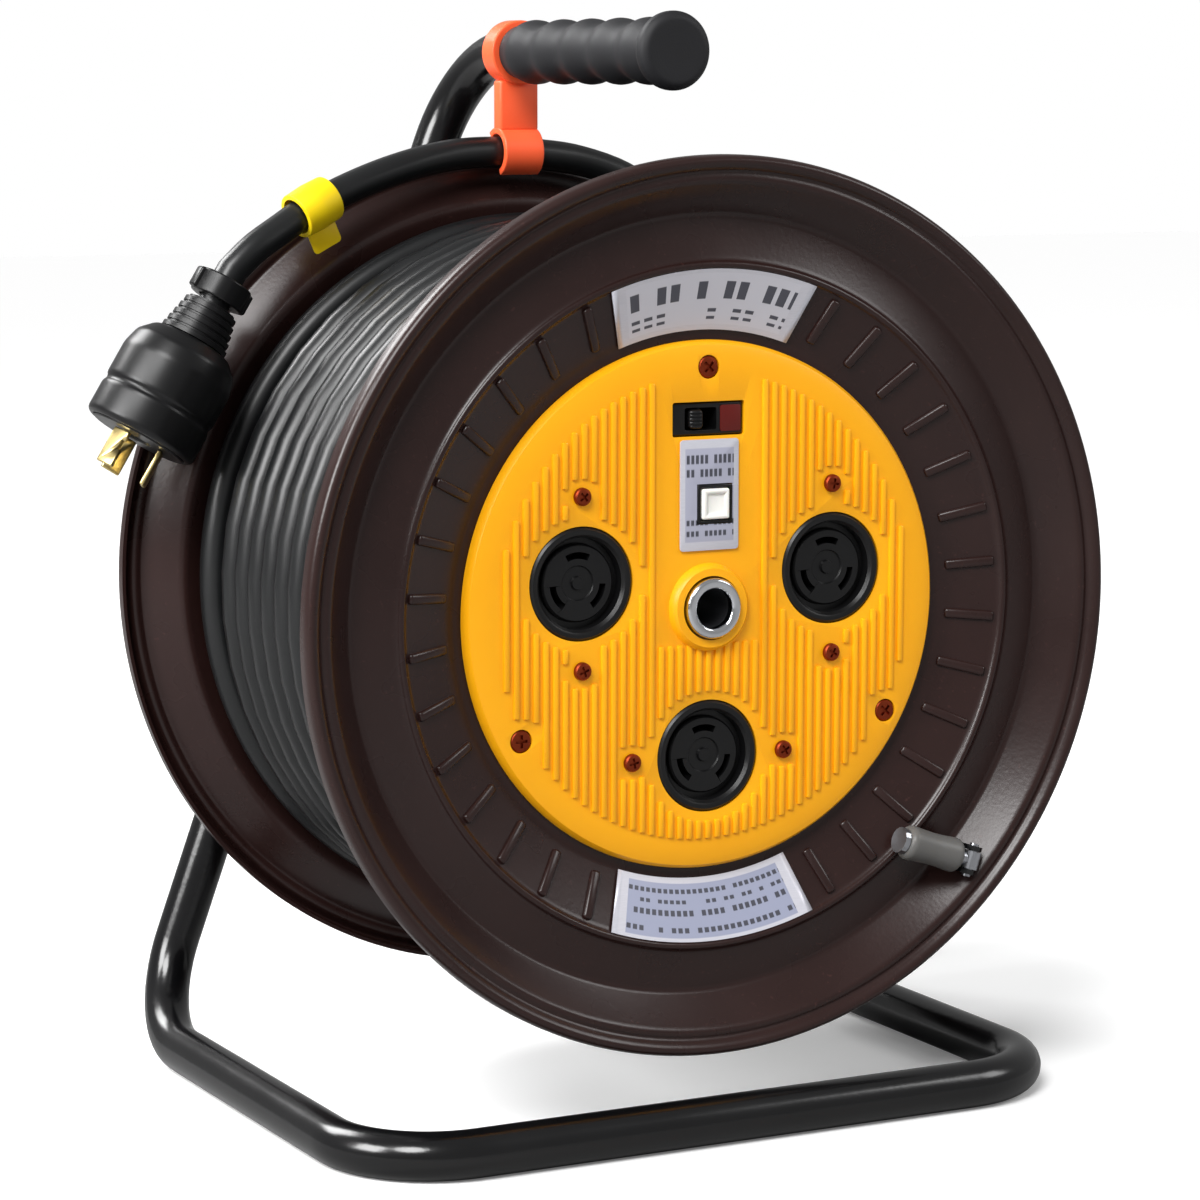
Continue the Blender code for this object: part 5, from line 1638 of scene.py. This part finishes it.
class REEL_OT_plug(bpy.types.Operator):
    """Make the twist-lock plug on the lead's end, and the yellow tag above it"""

    bl_idname = "reel.plug"
    bl_label = "Plug and tag"

    def execute(self, context):
        line = [
            (0, 2.8 * MM),
            (17.3 * MM, 2.8 * MM),
            (17.3 * MM, 0.5 * MM),
            (PLUG_RADIUS - 1.4 * MM, 0.5 * MM),
            (PLUG_RADIUS, 1.8 * MM),
            (PLUG_RADIUS, 12.0 * MM),
            (PLUG_RADIUS - 0.7 * MM, 13.0 * MM),
            (PLUG_RADIUS - 0.7 * MM, 14.2 * MM),
            (PLUG_RADIUS, 15.2 * MM),
            (PLUG_RADIUS, 27.0 * MM),
            (18.4 * MM, 33.0 * MM),
            (14.2 * MM, 37.4 * MM),
            (12.0 * MM, PLUG_LENGTH),
            (0, PLUG_LENGTH),
        ]
        shell = lathe("plug_shell", eased(line, 1.2 * MM, 4), 96, angle=40)
        fit(settle(shell, PLUG), "stand", "black_plastic", "plug_body")

        line = [(0, 38.2 * MM)]
        start, end = NECK_SPAN
        rings = 5
        ledge = (end - start) / rings
        for i in range(rings):
            radius = NECK_RADII[0] + (NECK_RADII[1] - NECK_RADII[0]) * i / rings
            depth = start + ledge * i
            line += [
                (radius, depth),
                (radius, depth + 0.6 * ledge),
                (radius - 1.1 * MM, depth + 0.72 * ledge),
                (radius - 1.1 * MM, depth + 0.95 * ledge),
            ]
        line += [(8.0 * MM, end), (0, end)]
        relief = lathe("plug_strain_relief", line, 64, angle=40)
        fit(settle(relief, PLUG), "stand", "black_plastic", "plug_neck")

        low, high = CLAMP_SPAN
        ring = lathe(
            "plug_clamp",
            [(5.9 * MM, low), (9.6 * MM, low), (9.6 * MM, high), (5.9 * MM, high)],
            48,
            closed=True,
        )
        soften(ring, 0.6 * MM, 3, 50)
        ears = [
            block(
                "ear",
                (4.4 * MM, 5.0 * MM, 7.4 * MM),
                (side * 8.6 * MM, 0, -(low + high) / 2),
                rounding=0.9 * MM,
            )
            for side in (-1, 1)
        ]
        clamp = joined("plug_clamp", [ring, *ears])
        fit(settle(clamp, PLUG), "stand", "black_plastic", "plug_collar")

        line = [
            (0, 2.5 * MM),
            (17.0 * MM, 2.5 * MM),
            (17.0 * MM, 0.4 * MM),
            (16.6 * MM, 0),
            (5.0 * MM, 0),
            (4.4 * MM, 0.8 * MM),
            (0, 0.8 * MM),
        ]
        insert = lathe("plug_insert", line, 96)
        fit(settle(insert, PLUG), "stand", "black_plastic", "plug_face")

        blade = block("blade", BLADE_SIZE, (0, 0, BLADE_SIZE[2] / 2 + 0.3 * MM), rounding=0.5 * MM)
        notch = block("cutter", (2.4 * MM, 4 * MM, 3.4 * MM), (3.4 * MM, 0, 5.4 * MM))
        cut(blade, notch)
        for i, name in enumerate(("top", "left", "right")):
            angle = math.pi / 2 + i * 2 * math.pi / 3
            spot = PLUG @ Matrix.Translation((*polar(angle, BLADE_CIRCLE), 0))
            place = spot @ Matrix.Rotation(angle - math.pi / 2, 4, "Z")
            piece = twin(blade, f"plug_blade_{name}", place)
            fit(piece, "stand", "brass", f"plug_blade_{i + 1}")
        bpy.data.objects.remove(blade)

        spot = Vector(
            (
                TAIL_ROUTE_MM[10][0] * MM,
                DRUM_Y + TAIL_ROUTE_MM[10][1] * MM,
                AXLE_Z + TAIL_ROUTE_MM[10][2] * MM,
            )
        )
        heading = Vector(TAIL_ROUTE_MM[11]) - Vector(TAIL_ROUTE_MM[9])
        wrap = Matrix.Translation(spot) @ heading.to_track_quat("Z", "Y").to_matrix().to_4x4()
        line = [
            (6.4 * MM, -TAG_HALF_LENGTH),
            (8.0 * MM, -TAG_HALF_LENGTH),
            (8.4 * MM, 0),
            (8.0 * MM, TAG_HALF_LENGTH),
            (6.4 * MM, TAG_HALF_LENGTH),
        ]
        band = lathe("tag_band", eased(line, 0.5 * MM, 3), 48, closed=True)
        flap = sheet_plate("tag_flap", 9.0 * MM, 12.0 * MM, 0.8 * MM, 1.5 * MM, 0.2 * MM)
        settle(flap, Matrix.Rotation(math.pi / 2, 4, "Y") @ Matrix.Rotation(math.pi / 2, 4, "Z"))
        settle(flap, wrap @ Matrix.Translation((0, -11.0 * MM, 0)))
        tag = joined("lead_tag", [settle(band, wrap), flap])
        fit(tag, "stand", "tag_vinyl", "cable_tag")
        return {"FINISHED"}


KEPT_NODES = {  # node: material slot
    "axle_tube": "zinc_steel",
    "axle_spacer": "zinc_steel",
    "front_bush": "bronze_bush",
    "rear_bush": "bronze_bush",
    "drum_core": "flange_paint",
    "cable_gland": "black_plastic",
    "drum_lead": "cable_rubber",
    "terminal_block": "black_plastic",
    "crank_bracket": "stand_paint",
    "crank_pin": "zinc_steel",
    "crank_stem": "zinc_steel",
}


class REEL_OT_kept_nodes(bpy.types.Operator):
    """Give the plain turned parts inside the drum and the hinge their finishes"""

    bl_idname = "reel.kept_nodes"
    bl_label = "Inner parts"

    def execute(self, context):
        for name, slot in KEPT_NODES.items():
            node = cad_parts[name]
            node.data.materials.clear()
            node.data.materials.append(finish_of(slot))
        return {"FINISHED"}


PIECES = (
    REEL_OT_stage,
    REEL_OT_winding,
    REEL_OT_plug,
    REEL_OT_tail,
    REEL_OT_flanges,
    REEL_OT_labels,
    REEL_OT_socket_plate,
    REEL_OT_sockets,
    REEL_OT_screws,
    REEL_OT_breaker,
    REEL_OT_test_button,
    REEL_OT_axle,
    REEL_OT_rear_cover,
    REEL_OT_stand,
    REEL_OT_handle,
    REEL_OT_clip,
    REEL_OT_crank,
    REEL_OT_kept_nodes,
)


class REEL_PT_panel(bpy.types.Panel):
    """The reel's pieces, sizes and colours"""

    bl_idname = "REEL_PT_panel"
    bl_label = "Cable Reel"
    bl_space_type = "VIEW_3D"
    bl_region_type = "UI"
    bl_category = "Cable Reel"

    def draw(self, context):
        column = self.layout.column(align=True)
        for operator in PIECES:
            column.operator(operator.bl_idname)
        for group in (context.scene.reel_sizes, context.scene.reel_colours):
            box = self.layout.box()
            for field in group.bl_rna.properties.keys():
                if field not in {"rna_type", "name"}:
                    box.prop(group, field)


def register():
    for made in (ReelColours, ReelSizes, *PIECES, REEL_PT_panel):
        bpy.utils.register_class(made)
    bpy.types.Scene.reel_colours = bpy.props.PointerProperty(type=ReelColours)
    bpy.types.Scene.reel_sizes = bpy.props.PointerProperty(type=ReelSizes)


def unregister():
    del bpy.types.Scene.reel_sizes
    del bpy.types.Scene.reel_colours
    for made in reversed((ReelColours, ReelSizes, *PIECES, REEL_PT_panel)):
        bpy.utils.unregister_class(made)


def main():
    register()
    for operator in PIECES:
        group, name = operator.bl_idname.split(".")
        getattr(getattr(bpy.ops, group), name)()


if __name__ == "__main__":
    main()
